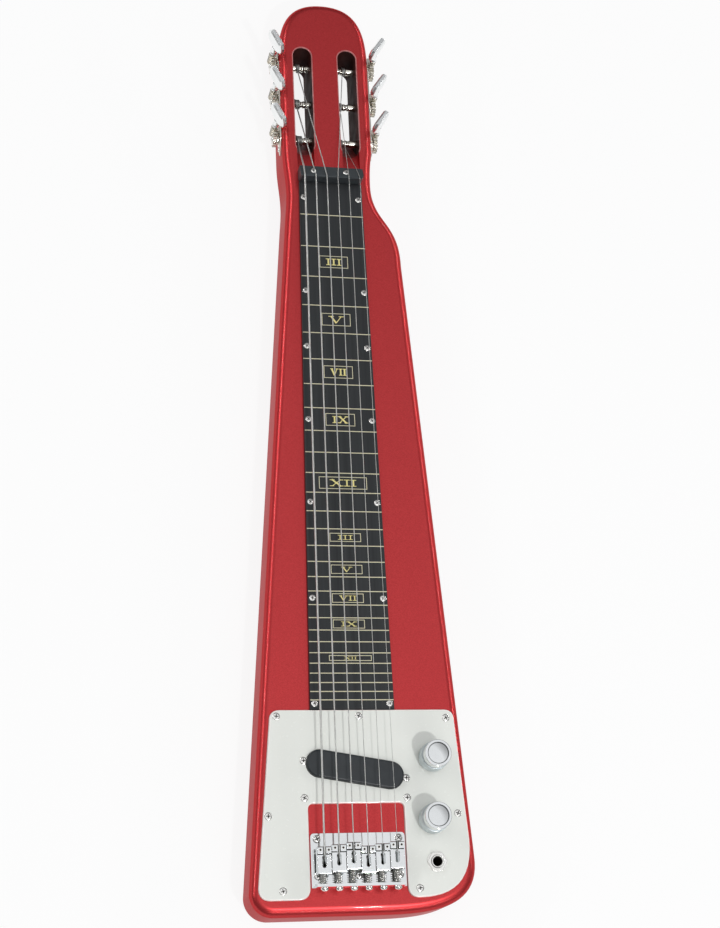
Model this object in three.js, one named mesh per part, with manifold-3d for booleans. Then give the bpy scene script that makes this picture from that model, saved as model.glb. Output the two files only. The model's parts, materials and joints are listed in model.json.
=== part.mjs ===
// Six-string lap steel guitar with a slotted head, built as an assembly of separate pieces.
// Lengths are millimetres and turns are degrees. +Z points up out of the fingerboard, +Y points to the head.
// The origin lies on the flat back, straight under the middle of the line where the strings leave the nut.

import * as THREE from 'three';
import { mergeVertices } from 'three/addons/utils/BufferGeometryUtils.js';
import Module from 'manifold-3d';

const wasm = await Module();
wasm.setup();

// Strings
const scaleLength = 530;
const stringCount = 6;
const nutStringPitch = 9;
const bridgeStringPitch = 10.57;
const stringRise = 9.6;
const thickestString = 1.42;
const thinnestString = 0.38;
const ballRadius = 2.1;
const ballLength = 4;

// Body slab
const bodyThickness = 38;
const topRound = 7;
const backRound = 3;
const headBeyondRollers = 57.3;
const headHalfWidth = 37.4;
const headShoulder = 53.3;
const headCrownHalfWidth = 30;
const headTaper = 33;
const waistHalfWidth = 35;
const leftWaistDrop = 8;
const rightWaistRise = 4;
const leftFlareDrop = 28;
const leftFlareHalfWidth = 36.3;
const rightShoulderHalfWidth = 57.3;
const rightShoulderDrop = 68;
const tailBehindBridge = 48.2;
const tailLeft = 78.2;
const tailLeftCorner = 17;
const tailRight = 87.5;
const tailRightReach = 77.5;
const tailRightRise = 40;

// Head slots
const slotInner = 11.1;
const slotWidth = 15.4;
const slotBelowRollers = 16.9;
const slotBeyondRollers = 12.5;
const reliefWidth = 14;
const reliefLength = 16;
const reliefDepth = 9;

// Rollers
const rollerSpacing = 34.3;
const lowestRollerY = 45.4;
const rollerZ = 25;
const rollerRadius = 3;
const rollerBlindDepth = 6;
const rollerCollarRadius = 4.2;
const rollerTipRadius = 1.9;
const windingTurns = 3;
const windingShares = [0.86, 0.86, 0.74, 0.38, 0.14, 0.12];

// Tuner plates
const tunerPlateThickness = 1.2;
const tunerPlateHalfWidth = 6.5;
const tunerPlateHalfLength = 49;
const tunerPlateTail = 13;
const earThickness = 1.4;
const earHalfWidth = 3.2;

// Worm and gear
const gearTeeth = 14;
const gearPitchRadius = 5.698;
const gearAddendum = 0.7;
const gearDedendum = 0.9;
const gearThickness = 3;
const gearToothShare = 0.39;
const gearTipShare = 0.42;
const gearRootShare = 1.25;
const wormPitchRadius = 2.5;
const wormAddendum = 0.65;
const wormDedendum = 0.9;
const wormThreadShare = 0.42;
const wormFlankShare = 0.14;
const wormLength = 8.2;
const wormShaftRadius = 1.5;
const wormShaftEnd = 0.8;
const wormStandOff = 0.45;

// Tuner buttons
const buttonWidth = 16;
const buttonHeight = 20;
const buttonThickness = 4.6;
const buttonBevel = 1.2;
const buttonNeckRadius = 2.9;
const buttonNeckLength = 4.9;
const buttonStandOff = 2.7;
const buttonBoreDepth = 8.4;
const leftButtonTurn = -45;
const rightButtonTurn = 66;

// Fingerboard
const boardThickness = 3;
const boardNutHalfWidth = 25.55;
const boardBridgeHalfWidth = 32.84;
const fretCount = 28;
const boardBeyondFrets = 6.8;
const boardScrewInset = 3.4;
const boardScrewHole = 1.1;
const boardScrewShares = [0.0272, 0.1827, 0.2726, 0.388, 0.5143, 0.6564, 0.8066];

// Nut
const nutHalfWidth = 27.6;
const nutLength = 10.8;
const nutBackDrop = 3.2;
const nutCrest = 1.2;
const nutCorner = 3;
const nutScrewHalfSpacing = 13.4;
const nutScrewShift = -1.7;
const nutScrewHole = 1.7;

// Pickguard
const guardThickness = 2.5;
const guardLeftMargin = 6.3;
const guardRightMargin = 4.3;
const guardTopCorner = 8;
const guardTailMargin = 11;
const guardTailCorner = 9;
const guardLobe = 44;
const guardRightRise = 40;
const guardScrewEdge = 6.4;
const guardScrewHole = 1.4;
const cutoutClearance = 0.8;
const cutoutAhead = 30;
const cutoutCorner = 4;

// Pickup
const pickupAhead = 54.3;
const pickupSlant = -9.9;
const pickupHalfSpan = 26.2;
const pickupEndRadius = 10;
const pickupAboveGuard = 3;
const pickupDepth = 15;
const pickupWall = 1;
const pickupScrewSpan = 38.2;
const pickupScrewHole = 1.6;
const pickupBaseThickness = 2;
const pickupEarRadius = 4.2;

// Bridge plate
const bridgeHalfWidth = 34.4;
const bridgePlateThickness = 2;
const bridgeAhead = 9;
const bridgeBehind = 29.2;
const bridgeWallHeight = 9;
const bridgeCorner = 2.5;
const bridgeScrewHalfSpacing = 29.8;
const bridgeFrontInset = 4;
const bridgeRearInset = 8.4;
const bridgeScrewHole = 1.8;
const stringHoleBehind = 15.5;
const stringHoleRadius = 1.8;
const ferruleRadius = 3.6;
const ferruleDepth = 9;

// Saddles and their screws
const saddleBehind = 2.3;
const saddleStagger = 1.35;
const saddleWidth = 10.1;
const saddleLength = 17.2;
const saddleThickness = 6;
const saddleLift = 3.4;
const saddleBossHeight = 1.4;
const saddleBossLength = 4.4;
const saddleGrooveWidth = 2;
const saddleSlotWidth = 2.6;
const saddleSlotLength = 10;
const saddleNose = 0.6;
const heightScrewRadius = 1.3;
const intonationRadius = 1.2;
const intonationBite = 2.4;
const intonationHeadRadius = 2.6;
const intonationHeadLength = 2.2;

// Volume and tone controls
const volumeX = 57.35;
const volumeAhead = 61.8;
const toneX = 54.95;
const toneAhead = 17.1;
const knobBaseRadius = 10.5;
const knobTopRadius = 9.8;
const knobHeight = 19.5;
const knobLift = 2.5;
const knobKnurlHeight = 11;
const knobKnurls = 20;
const knobKnurlDepth = 0.35;
const knobGroove = 0.7;
const knobGrooveWidth = 1.2;
const knobChamfer = 1.4;
const knobBoreDepth = 13;
const potRadius = 8.5;
const potDepth = 9;
const potBushingRadius = 4.2;
const potBushingAbove = 2.2;
const potNutFlats = 12;
const potNutHeight = 1.8;
const potShaftRadius = 3;

// Output jack
const jackX = 57.2;
const jackBehind = 12.6;
const jackSleeveRadius = 4.75;
const jackBoreRadius = 3.4;
const jackSleeveAbove = 2.6;
const jackCaseRadius = 6.2;
const jackCaseDepth = 26;
const jackCaseWall = 2;
const jackNutFlats = 12.6;
const jackNutHeight = 2;

// Routed cavities
const pickupRoutDepth = 22;
const controlRoutDepth = 32;
const routMargin = 3;
const controlRoutCorner = 6;

// Fits
const runningGap = 0.3;
const seatGap = 0.3;
const faceGap = 0.4;
const cutOverrun = 5;
const weldDistance = 1e-5;

// Plain shapes

function roundedRectangle(left, right, low, high, corner) {
  const shape = new THREE.Shape();
  shape.moveTo(left + corner, low);
  shape.lineTo(right - corner, low);
  shape.absarc(right - corner, low + corner, corner, -Math.PI / 2, 0);
  shape.lineTo(right, high - corner);
  shape.absarc(right - corner, high - corner, corner, 0, Math.PI / 2);
  shape.lineTo(left + corner, high);
  shape.absarc(left + corner, high - corner, corner, Math.PI / 2, Math.PI);
  shape.lineTo(left, low + corner);
  shape.absarc(left + corner, low + corner, corner, Math.PI, 1.5 * Math.PI);
  return shape;
}

function stadium(halfSpan, radius) {
  const shape = new THREE.Shape();
  shape.moveTo(-halfSpan, -radius);
  shape.lineTo(halfSpan, -radius);
  shape.absarc(halfSpan, 0, radius, -Math.PI / 2, Math.PI / 2);
  shape.lineTo(-halfSpan, radius);
  shape.absarc(-halfSpan, 0, radius, Math.PI / 2, 1.5 * Math.PI);
  return shape;
}

function polygon(points) {
  const shape = new THREE.Shape();
  shape.moveTo(...points[0]);
  points.slice(1).forEach((point) => shape.lineTo(...point));
  shape.closePath();
  return shape;
}

function circle(x, y, radius) {
  const path = new THREE.Path();
  path.absarc(x, y, radius, 0, 2 * Math.PI);
  return path;
}

// Plain solids

function prism(shape, low, high, curveSegments = 8) {
  const settings = { depth: high - low, bevelEnabled: false, curveSegments };
  return new THREE.ExtrudeGeometry(shape, settings).translate(0, 0, low);
}

function rounded(shape, low, high, round, bevelSegments, curveSegments) {
  const settings = {
    depth: high - low - 2 * round,
    bevelThickness: round,
    bevelSize: round,
    bevelOffset: -round,
    bevelSegments,
    curveSegments,
  };
  return new THREE.ExtrudeGeometry(shape, settings).translate(0, 0, low + round);
}

function rod(radius, low, high, sideCount = 16) {
  return new THREE.CylinderGeometry(radius, radius, high - low, sideCount)
    .rotateX(Math.PI / 2)
    .translate(0, 0, (low + high) / 2);
}

function hexagon(flats, low, high) {
  return rod(flats / Math.sqrt(3), low, high, 6);
}

function box(left, right, front, back, low, high) {
  return new THREE.BoxGeometry(right - left, back - front, high - low)
    .translate((left + right) / 2, (front + back) / 2, (low + high) / 2);
}

function turned(profile, sideCount) {
  const points = profile.map(([radius, height]) => new THREE.Vector2(radius, height));
  return new THREE.LatheGeometry(points, sideCount).rotateX(Math.PI / 2);
}

// A closed skin through rings of points, each ring going anticlockwise round the way of travel.
function skin(rings) {
  const count = rings[0].length;
  const last = rings.length - 1;
  const place = (ring, corner) => ring * count + (corner % count);
  const triangles = [];
  for (let corner = 1; corner < count - 1; corner += 1) {
    triangles.push(place(0, 0), place(0, corner + 1), place(0, corner));
    triangles.push(place(last, 0), place(last, corner), place(last, corner + 1));
  }
  for (let ring = 0; ring < last; ring += 1) {
    for (let corner = 0; corner < count; corner += 1) {
      const [a, b] = [place(ring, corner), place(ring, corner + 1)];
      const [c, d] = [place(ring + 1, corner + 1), place(ring + 1, corner)];
      triangles.push(a, b, c, a, c, d);
    }
  }
  const positions = rings.flat().flatMap((point) => point.toArray());
  const geometry = new THREE.BufferGeometry();
  geometry.setAttribute('position', new THREE.Float32BufferAttribute(positions, 3));
  geometry.setIndex(triangles);
  return geometry;
}

// A round wire with mitred bends; its path never runs straight along X.
function wire(path, radius, sideCount) {
  const ways = path.slice(1).map((point, place) => point.clone().sub(path[place]).normalize());
  const across = new THREE.Vector3(1, 0, 0);
  across.addScaledVector(ways[0], -across.dot(ways[0])).normalize();
  const up = ways[0].clone().cross(across);
  let ring = [...Array(sideCount).keys()].map((side) => {
    const angle = (2 * Math.PI * side) / sideCount;
    return path[0].clone()
      .addScaledVector(across, radius * Math.cos(angle))
      .addScaledVector(up, radius * Math.sin(angle));
  });
  const rings = [ring];
  ways.forEach((way, place) => {
    const mitre = way.clone().add(ways[place + 1] ?? way).normalize();
    ring = ring.map((point) => {
      const distance = path[place + 1].clone().sub(point).dot(mitre) / way.dot(mitre);
      return point.clone().addScaledVector(way, distance);
    });
    rings.push(ring);
  });
  return skin(rings);
}

// Lays an upright piece along X or along Y, or stands a side view drawn in Y and Z across X.
const alongX = (geometry) => geometry.rotateY(Math.PI / 2);
const alongY = (geometry) => geometry.rotateX(-Math.PI / 2);
const sideView = new THREE.Matrix4().makeBasis(
  new THREE.Vector3(0, 1, 0),
  new THREE.Vector3(0, 0, 1),
  new THREE.Vector3(1, 0, 0),
);
const acrossX = (geometry) => geometry.applyMatrix4(sideView);
const turn = (degrees) => THREE.MathUtils.degToRad(degrees);

// Joining and cutting

function solid(geometry) {
  const bare = geometry.clone();
  bare.deleteAttribute('normal');
  bare.deleteAttribute('uv');
  const merged = mergeVertices(bare, weldDistance);
  const corners = merged.index.array;
  const triangles = [];
  for (let place = 0; place < corners.length; place += 3) {
    const [a, b, c] = corners.slice(place, place + 3);
    if (a !== b && b !== c && c !== a) triangles.push(a, b, c);
  }
  return new wasm.Manifold(new wasm.Mesh({
    numProp: 3,
    vertProperties: new Float32Array(merged.attributes.position.array),
    triVerts: new Uint32Array(triangles),
  }));
}

const asSolid = (piece) => (piece.isBufferGeometry ? solid(piece) : piece);
const join = (first, ...others) => others.reduce((sum, piece) => sum.add(asSolid(piece)), asSolid(first));
const cut = (first, ...tools) => tools.reduce((rest, tool) => rest.subtract(asSolid(tool)), asSolid(first));
const common = (first, second) => asSolid(first).intersect(asSolid(second));

function geometryOf(piece) {
  const mesh = asSolid(piece).getMesh();
  const geometry = new THREE.BufferGeometry();
  geometry.setAttribute('position', new THREE.BufferAttribute(new Float32Array(mesh.vertProperties), 3));
  geometry.setIndex(new THREE.BufferAttribute(new Uint32Array(mesh.triVerts), 1));
  geometry.computeVertexNormals();
  return geometry;
}

// Finishes

const finish = (color, metalness, roughness) =>
  new THREE.MeshStandardMaterial({ color, metalness, roughness, flatShading: true });
const redLacquer = finish(0xa62427, 0.4, 0.25);
const darkBoard = finish(0x35393b, 0, 0.55);
const paleGuard = finish(0xdfe0db, 0, 0.35);
const blackPlastic = finish(0x22262a, 0, 0.45);
const coilBlack = finish(0x1b1b1d, 0, 0.7);
const chrome = finish(0xd6d8da, 1, 0.12);
const nickel = finish(0xc9c4b8, 1, 0.25);
const steelWire = finish(0xb9bcc0, 1, 0.3);

const guitar = new THREE.Group();

function add(name, piece, material) {
  const mesh = new THREE.Mesh(geometryOf(piece), material);
  mesh.name = name;
  guitar.add(mesh);
  return mesh;
}

// Heights, from the back face up

const boardTop = bodyThickness + boardThickness;
const guardTop = bodyThickness + guardThickness;
const plateTop = bodyThickness + bridgePlateThickness;
const stringZ = boardTop + stringRise;

// Places along the body, and the two straight flanks that the body and the pickguard share

const sides = [-1, 1];
const rollerYs = [0, 1, 2].map((step) => lowestRollerY + step * rollerSpacing);
const highestRollerY = rollerYs.at(-1);
const headLength = highestRollerY + headBeyondRollers;
const slotLow = lowestRollerY - slotBelowRollers;
const slotHigh = highestRollerY + slotBeyondRollers;
const tailY = -(scaleLength + tailBehindBridge);
const fretDistance = (fret) => scaleLength * (1 - 2 ** (-fret / 12));
const boardLength = fretDistance(fretCount) + boardBeyondFrets;
const pickupY = -(scaleLength - pickupAhead);
const volumeY = -(scaleLength - volumeAhead);
const toneY = -(scaleLength - toneAhead);
const jackY = -(scaleLength + jackBehind);
const stringHoleY = -(scaleLength + stringHoleBehind);

function alongLine(place, start, startValue, end, endValue) {
  return startValue + ((endValue - startValue) * (place - start)) / (end - start);
}

const leftFlankEnd = tailY + tailLeftCorner;
const rightFlankEnd = tailY + tailRightRise;
const leftFlank = (y) => -alongLine(y, -leftFlareDrop, leftFlareHalfWidth, leftFlankEnd, tailLeft);
const rightFlank = (y) => alongLine(y, -rightShoulderDrop, rightShoulderHalfWidth, rightFlankEnd, tailRight);

// Each string's place at the nut and at the bridge, and the tuner that it belongs to

const stringIndexes = [...Array(stringCount).keys()];
const fromMiddle = (index) => index - (stringCount - 1) / 2;
const nutStringX = (index) => fromMiddle(index) * nutStringPitch;
const bridgeStringX = (index) => fromMiddle(index) * bridgeStringPitch;
const thinning = (thinnestString / thickestString) ** (1 / (stringCount - 1));
const stringRadius = (index) => (thickestString * thinning ** index) / 2;

const tuners = stringIndexes.map((index) => {
  const isLeft = index < stringCount / 2;
  const share = windingShares[index];
  return {
    index,
    number: stringCount - index,
    side: isLeft ? -1 : 1,
    y: rollerYs[isLeft ? index : stringCount - 1 - index],
    radius: stringRadius(index),
    reach: slotInner + slotWidth * share,
    windingWay: share > 0.5 ? -1 : 1,
  };
});

// Body: one slab, rounded at both edges, slotted through the head and routed under the pickguard

function bodyOutline() {
  const sideTop = headLength - headShoulder;
  const crown = headLength - headShoulder * 0.4;
  const outline = new THREE.Shape();
  outline.moveTo(0, headLength);
  outline.bezierCurveTo(-headCrownHalfWidth, headLength, -headHalfWidth, crown, -headHalfWidth, sideTop);
  outline.lineTo(-headHalfWidth, headTaper);
  outline.bezierCurveTo(
    -headHalfWidth, headTaper * 0.5,
    -waistHalfWidth, headTaper * 0.2,
    -waistHalfWidth, -leftWaistDrop,
  );
  outline.quadraticCurveTo(-waistHalfWidth, -leftFlareDrop * 0.55, -leftFlareHalfWidth, -leftFlareDrop);
  outline.lineTo(-tailLeft, leftFlankEnd);
  outline.absarc(-tailLeft + tailLeftCorner, leftFlankEnd, tailLeftCorner, Math.PI, 1.5 * Math.PI);
  outline.lineTo(tailRight - tailRightReach, tailY);
  outline.bezierCurveTo(
    tailRight - tailRightReach * 0.5, tailY,
    tailRight + tailRightRise * 0.08, tailY,
    tailRight, rightFlankEnd,
  );
  outline.lineTo(rightShoulderHalfWidth, -rightShoulderDrop);
  outline.bezierCurveTo(
    rightShoulderHalfWidth, -rightShoulderDrop * 0.4,
    waistHalfWidth, -rightShoulderDrop * 0.45,
    waistHalfWidth, rightWaistRise,
  );
  outline.quadraticCurveTo(waistHalfWidth, headTaper * 0.6, headHalfWidth, headTaper);
  outline.lineTo(headHalfWidth, sideTop);
  outline.bezierCurveTo(headHalfWidth, crown, headCrownHalfWidth, headLength, 0, headLength);
  return outline;
}

function slabPart(round, bevelSegments, low, high) {
  const keep = box(-scaleLength, scaleLength, -2 * scaleLength, scaleLength, low, high);
  return common(rounded(bodyOutline(), 0, bodyThickness, round, bevelSegments, 6), keep);
}

function headSlot(side) {
  const shape = stadium((slotHigh - slotLow - slotWidth) / 2, slotWidth / 2);
  return prism(shape, -cutOverrun, bodyThickness + cutOverrun, 5)
    .rotateZ(Math.PI / 2)
    .translate(side * (slotInner + slotWidth / 2), (slotLow + slotHigh) / 2, 0);
}

// A ramp below each slot lets the strings rise out of it towards the nut.
function stringRelief(side) {
  const ramp = polygon([
    [slotLow - reliefLength, bodyThickness],
    [slotLow + slotWidth / 2, bodyThickness - reliefDepth],
    [slotLow + slotWidth / 2, bodyThickness + cutOverrun],
    [slotLow - reliefLength, bodyThickness + cutOverrun],
  ]);
  return acrossX(prism(ramp, -reliefWidth / 2, reliefWidth / 2))
    .translate(side * (slotInner + slotWidth / 2), 0, 0);
}

const rollerBore = rollerRadius + faceGap;
const rollerInner = slotInner - rollerBlindDepth;

function rollerHole(side, y) {
  const bore = alongX(rod(rollerBore, rollerInner, headHalfWidth + cutOverrun, 8));
  return (side > 0 ? bore : bore.rotateZ(Math.PI)).translate(0, y, rollerZ);
}

const slanted = (geometry) => geometry.rotateZ(turn(pickupSlant)).translate(0, pickupY, 0);

function pickupRout() {
  const radius = pickupEndRadius + routMargin;
  const shape = stadium(pickupScrewSpan + pickupEarRadius + routMargin - radius, radius);
  return slanted(prism(shape, bodyThickness - pickupRoutDepth, bodyThickness + cutOverrun, 5));
}

function controlRout() {
  const room = potRadius + routMargin;
  const shape = roundedRectangle(
    Math.min(volumeX, toneX) - room,
    Math.max(volumeX, toneX) + room,
    jackY - jackCaseRadius - routMargin,
    volumeY + room,
    controlRoutCorner,
  );
  return prism(shape, bodyThickness - controlRoutDepth, bodyThickness + cutOverrun, 2);
}

function stringHole(index) {
  const hole = rod(stringHoleRadius, -cutOverrun, bodyThickness + cutOverrun, 6);
  const ferruleSeat = rod(ferruleRadius, -cutOverrun, ferruleDepth, 8);
  return join(hole, ferruleSeat).translate([bridgeStringX(index), stringHoleY, 0]);
}

const slab = join(
  slabPart(backRound, 2, -cutOverrun, bodyThickness / 2),
  slabPart(topRound, 4, bodyThickness / 2, bodyThickness + cutOverrun),
);
const body = cut(
  slab,
  ...sides.map(headSlot),
  ...sides.map(stringRelief),
  ...sides.flatMap((side) => rollerYs.map((y) => rollerHole(side, y))),
  pickupRout(),
  controlRout(),
  ...stringIndexes.map(stringHole),
);
add('body', body, redLacquer);

// Fingerboard: a flat tapered plate, screwed down along both edges

const boardHalfWidth = (distance) =>
  alongLine(distance, 0, boardNutHalfWidth, scaleLength, boardBridgeHalfWidth);

function fingerboard() {
  const endHalfWidth = boardHalfWidth(boardLength);
  const shape = polygon([
    [-boardNutHalfWidth, -seatGap],
    [-endHalfWidth, -boardLength],
    [endHalfWidth, -boardLength],
    [boardNutHalfWidth, -seatGap],
  ]);
  boardScrewShares.forEach((share) => {
    const distance = share * scaleLength;
    const x = boardHalfWidth(distance) - boardScrewInset;
    sides.forEach((side) => shape.holes.push(circle(side * x, -distance, boardScrewHole)));
  });
  return prism(shape, bodyThickness, boardTop, 3);
}

add('fingerboard', fingerboard(), darkBoard);

// Strings: from the ball under the body, over the saddle and the nut, and round the roller

const saddleFront = (index) => -(scaleLength + saddleBehind) + ((index % 3) - 1) * saddleStagger;
const nutTop = stringZ - seatGap;

function stringPath({ index, side, y, radius, reach }) {
  const bridgeX = bridgeStringX(index);
  const nutX = nutStringX(index);
  const breakY = saddleFront(index) - saddleBossLength - saddleNose;
  const ballZ = ferruleDepth - seatGap - ballLength / 2;
  const overNut = new THREE.Vector3(nutX, nutCrest, stringZ);
  const orbit = rollerRadius + radius + seatGap;
  const leave = ({ y: fromY, z: fromZ }) => {
    const distance = Math.hypot(fromY - y, fromZ - rollerZ);
    return Math.atan2(fromZ - rollerZ, fromY - y) - Math.acos(orbit / distance);
  };
  const onRoller = (angle) => new THREE.Vector3(
    side * reach,
    y + orbit * Math.cos(angle),
    rollerZ + orbit * Math.sin(angle),
  );
  const path = [
    new THREE.Vector3(bridgeX, stringHoleY, ballZ),
    new THREE.Vector3(bridgeX, stringHoleY, plateTop),
    new THREE.Vector3(bridgeX, breakY, stringZ),
    overNut,
  ];
  const straight = onRoller(leave(overNut));
  const rest = overNut.clone().lerp(straight, (nutLength - nutCrest) / (straight.y - nutCrest));
  const restZ = nutTop - nutBackDrop + radius + seatGap;
  if (rest.z < restZ) {
    rest.z = restZ;
    path.push(rest);
  }
  const touch = leave(path.at(-1));
  [0, 0.2, 0.4, 0.6, 0.8].forEach((turnShare) => path.push(onRoller(touch - turnShare * Math.PI)));
  return path;
}

const stringTool = (tuner) => wire(stringPath(tuner), tuner.radius + seatGap, 6);

tuners.forEach((tuner) => {
  const ballTop = ferruleDepth - seatGap;
  const ball = rod(ballRadius, ballTop - ballLength, ballTop, 6)
    .translate(bridgeStringX(tuner.index), stringHoleY, 0);
  add(`string_${tuner.number}`, join(wire(stringPath(tuner), tuner.radius, 6), ball), steelWire);
});

// Nut: a block whose top slopes down to the head, with a groove worn to each string's path

function nut() {
  const profile = polygon([
    [0, bodyThickness],
    [nutLength, bodyThickness],
    [nutLength, nutTop - nutBackDrop],
    [nutCrest, nutTop],
    [0, nutTop],
  ]);
  const plan = roundedRectangle(-nutHalfWidth, nutHalfWidth, 0, nutLength + nutCorner, nutCorner);
  const block = common(acrossX(prism(profile, -nutHalfWidth, nutHalfWidth)), prism(plan, 0, stringZ, 2));
  const screwHoles = sides.map((side) =>
    rod(nutScrewHole, 0, stringZ, 6)
      .translate(nutScrewShift + side * nutScrewHalfSpacing, nutLength / 2, 0));
  return cut(block, ...tuners.map(stringTool), ...screwHoles);
}

add('nut', nut(), darkBoard);

// Pickguard: follows the body's flanks, with cut-outs for the bridge, pickup, pots and jack

const guardHead = -(boardLength + seatGap);
const guardTail = tailY + guardTailMargin;
const guardLeft = (y) => leftFlank(y) + guardLeftMargin;
const guardRight = (y) => rightFlank(y) - guardRightMargin;
const cutoutHead = -(scaleLength - cutoutAhead);
const cutoutHalfWidth = bridgeHalfWidth + cutoutClearance;

function guardOutline() {
  const flankEnd = guardTail + guardRightRise;
  const outline = new THREE.Shape();
  outline.moveTo(guardLeft(guardHead) + guardTopCorner, guardHead);
  outline.quadraticCurveTo(guardLeft(guardHead), guardHead, guardLeft(guardHead), guardHead - guardTopCorner);
  outline.lineTo(guardLeft(guardTail), guardTail + guardTailCorner);
  outline.quadraticCurveTo(guardLeft(guardTail), guardTail, guardLeft(guardTail) + guardTailCorner, guardTail);
  outline.lineTo(-cutoutHalfWidth - guardTailCorner, guardTail);
  outline.quadraticCurveTo(-cutoutHalfWidth, guardTail, -cutoutHalfWidth, guardTail + guardTailCorner);
  outline.lineTo(-cutoutHalfWidth, cutoutHead - cutoutCorner);
  outline.quadraticCurveTo(-cutoutHalfWidth, cutoutHead, -cutoutHalfWidth + cutoutCorner, cutoutHead);
  outline.lineTo(cutoutHalfWidth - cutoutCorner, cutoutHead);
  outline.quadraticCurveTo(cutoutHalfWidth, cutoutHead, cutoutHalfWidth, cutoutHead - cutoutCorner);
  outline.lineTo(cutoutHalfWidth, guardTail + guardTailCorner);
  outline.quadraticCurveTo(cutoutHalfWidth, guardTail, guardLobe, guardTail);
  outline.bezierCurveTo(
    guardLobe + guardRightRise * 0.6, guardTail,
    guardRight(flankEnd) + guardRightRise * 0.02, guardTail + guardRightRise * 0.25,
    guardRight(flankEnd), flankEnd,
  );
  outline.lineTo(guardRight(guardHead), guardHead - guardTopCorner);
  outline.quadraticCurveTo(guardRight(guardHead), guardHead, guardRight(guardHead) - guardTopCorner, guardHead);
  return outline;
}

function guardScrewPlaces() {
  const edge = guardScrewEdge;
  const middle = guardHead - (guardHead - guardTail) * 0.565;
  return [
    [guardLeft(guardHead) + edge * 0.8, guardHead - edge * 0.75],
    [edge * 0.7, guardHead - edge * 0.75],
    [guardRight(guardHead) - edge, guardHead - edge],
    [-cutoutHalfWidth - edge * 0.4, cutoutHead + edge * 0.65],
    [cutoutHalfWidth + edge * 0.4, cutoutHead + edge * 0.55],
    [guardLeft(middle) + edge * 0.55, middle],
    [guardRight(middle) - edge, middle],
    [-cutoutHalfWidth - edge * 3.1, guardTail + edge],
    [cutoutHalfWidth + edge * 1.35, guardTail + edge],
  ];
}

function pickguard() {
  const shape = guardOutline();
  guardScrewPlaces().forEach(([x, y]) => shape.holes.push(circle(x, y, guardScrewHole)));
  const low = bodyThickness - cutOverrun;
  const high = guardTop + cutOverrun;
  return cut(
    prism(shape, bodyThickness, guardTop, 4),
    slanted(prism(stadium(pickupHalfSpan, pickupEndRadius + seatGap), low, high, 7)),
    ...sides.map((side) => slanted(rod(pickupScrewHole, low, high, 6).translate(side * pickupScrewSpan, 0, 0))),
    rod(potBushingRadius + seatGap, low, high, 12).translate(volumeX, volumeY, 0),
    rod(potBushingRadius + seatGap, low, high, 12).translate(toneX, toneY, 0),
    rod(jackSleeveRadius + seatGap, low, high, 12).translate(jackX, jackY, 0),
  );
}

add('pickguard', pickguard(), paleGuard);

// Pickup: a cover, open below, over a bobbin on a base whose two ears take the height screws

const coverTop = guardTop + pickupAboveGuard;
const coverBottom = coverTop - pickupDepth;

function pickupCover() {
  const shell = rounded(stadium(pickupHalfSpan, pickupEndRadius), coverBottom, coverTop, pickupWall / 2, 1, 6);
  const room = stadium(pickupHalfSpan, pickupEndRadius - pickupWall);
  return cut(slanted(shell), slanted(prism(room, coverBottom - cutOverrun, coverTop - pickupWall, 4)));
}

function pickupBobbin() {
  const baseTop = coverBottom - seatGap;
  const baseBottom = baseTop - pickupBaseThickness;
  const coil = stadium(pickupHalfSpan, pickupEndRadius - pickupWall - faceGap);
  const earHole = (side) => rod(pickupScrewHole, baseBottom - cutOverrun, baseTop + cutOverrun, 6)
    .translate(side * pickupScrewSpan, 0, 0);
  return cut(
    join(
      slanted(prism(coil, baseBottom, coverTop - pickupWall - faceGap, 4)),
      slanted(prism(stadium(pickupHalfSpan, pickupEndRadius), baseBottom, baseTop, 4)),
      slanted(prism(stadium(pickupScrewSpan, pickupEarRadius), baseBottom, baseTop, 3)),
    ),
    ...sides.map((side) => slanted(earHole(side))),
  );
}

add('pickup_cover', pickupCover(), blackPlastic);
add('pickup_bobbin', pickupBobbin(), coilBlack);

// Bridge plate: a flat sheet bent up at its rear edge

const bridgeFront = -(scaleLength - bridgeAhead);
const bridgeRear = -(scaleLength + bridgeBehind);
const saddleBottom = plateTop + saddleLift;
const saddleTop = saddleBottom + saddleThickness;
const intonationZ = saddleBottom + saddleThickness / 2;
const intonationBore = intonationRadius + runningGap;

function bridgePlate() {
  const plan = roundedRectangle(-bridgeHalfWidth, bridgeHalfWidth, bridgeRear, bridgeFront, bridgeCorner);
  const wallEnd = bridgeHalfWidth - bridgeCorner;
  const wallTop = plateTop + bridgeWallHeight;
  const wall = box(-wallEnd, wallEnd, bridgeRear, bridgeRear + bridgePlateThickness, bodyThickness, wallTop);
  const low = bodyThickness - cutOverrun;
  const high = plateTop + cutOverrun;
  const screwHole = (x, y) => rod(bridgeScrewHole, low, high, 6).translate(x, y, 0);
  return cut(
    join(prism(plan, bodyThickness, plateTop, 3), wall),
    screwHole(-bridgeScrewHalfSpacing, bridgeFront - bridgeFrontInset),
    screwHole(bridgeScrewHalfSpacing, bridgeFront - bridgeFrontInset),
    screwHole(-bridgeScrewHalfSpacing, bridgeRear + bridgeRearInset),
    screwHole(0, bridgeRear + bridgeRearInset),
    screwHole(bridgeScrewHalfSpacing, bridgeRear + bridgeRearInset),
    ...stringIndexes.map((index) =>
      rod(stringHoleRadius, low, high, 6).translate(bridgeStringX(index), stringHoleY, 0)),
    ...stringIndexes.map((index) =>
      alongY(rod(intonationBore, -cutOverrun, cutOverrun, 6))
        .translate(bridgeStringX(index), bridgeRear, intonationZ)),
  );
}

add('bridge_plate', bridgePlate(), chrome);

// Saddles: cast blocks on two height screws, with two front bosses and a long slot for the string

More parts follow.
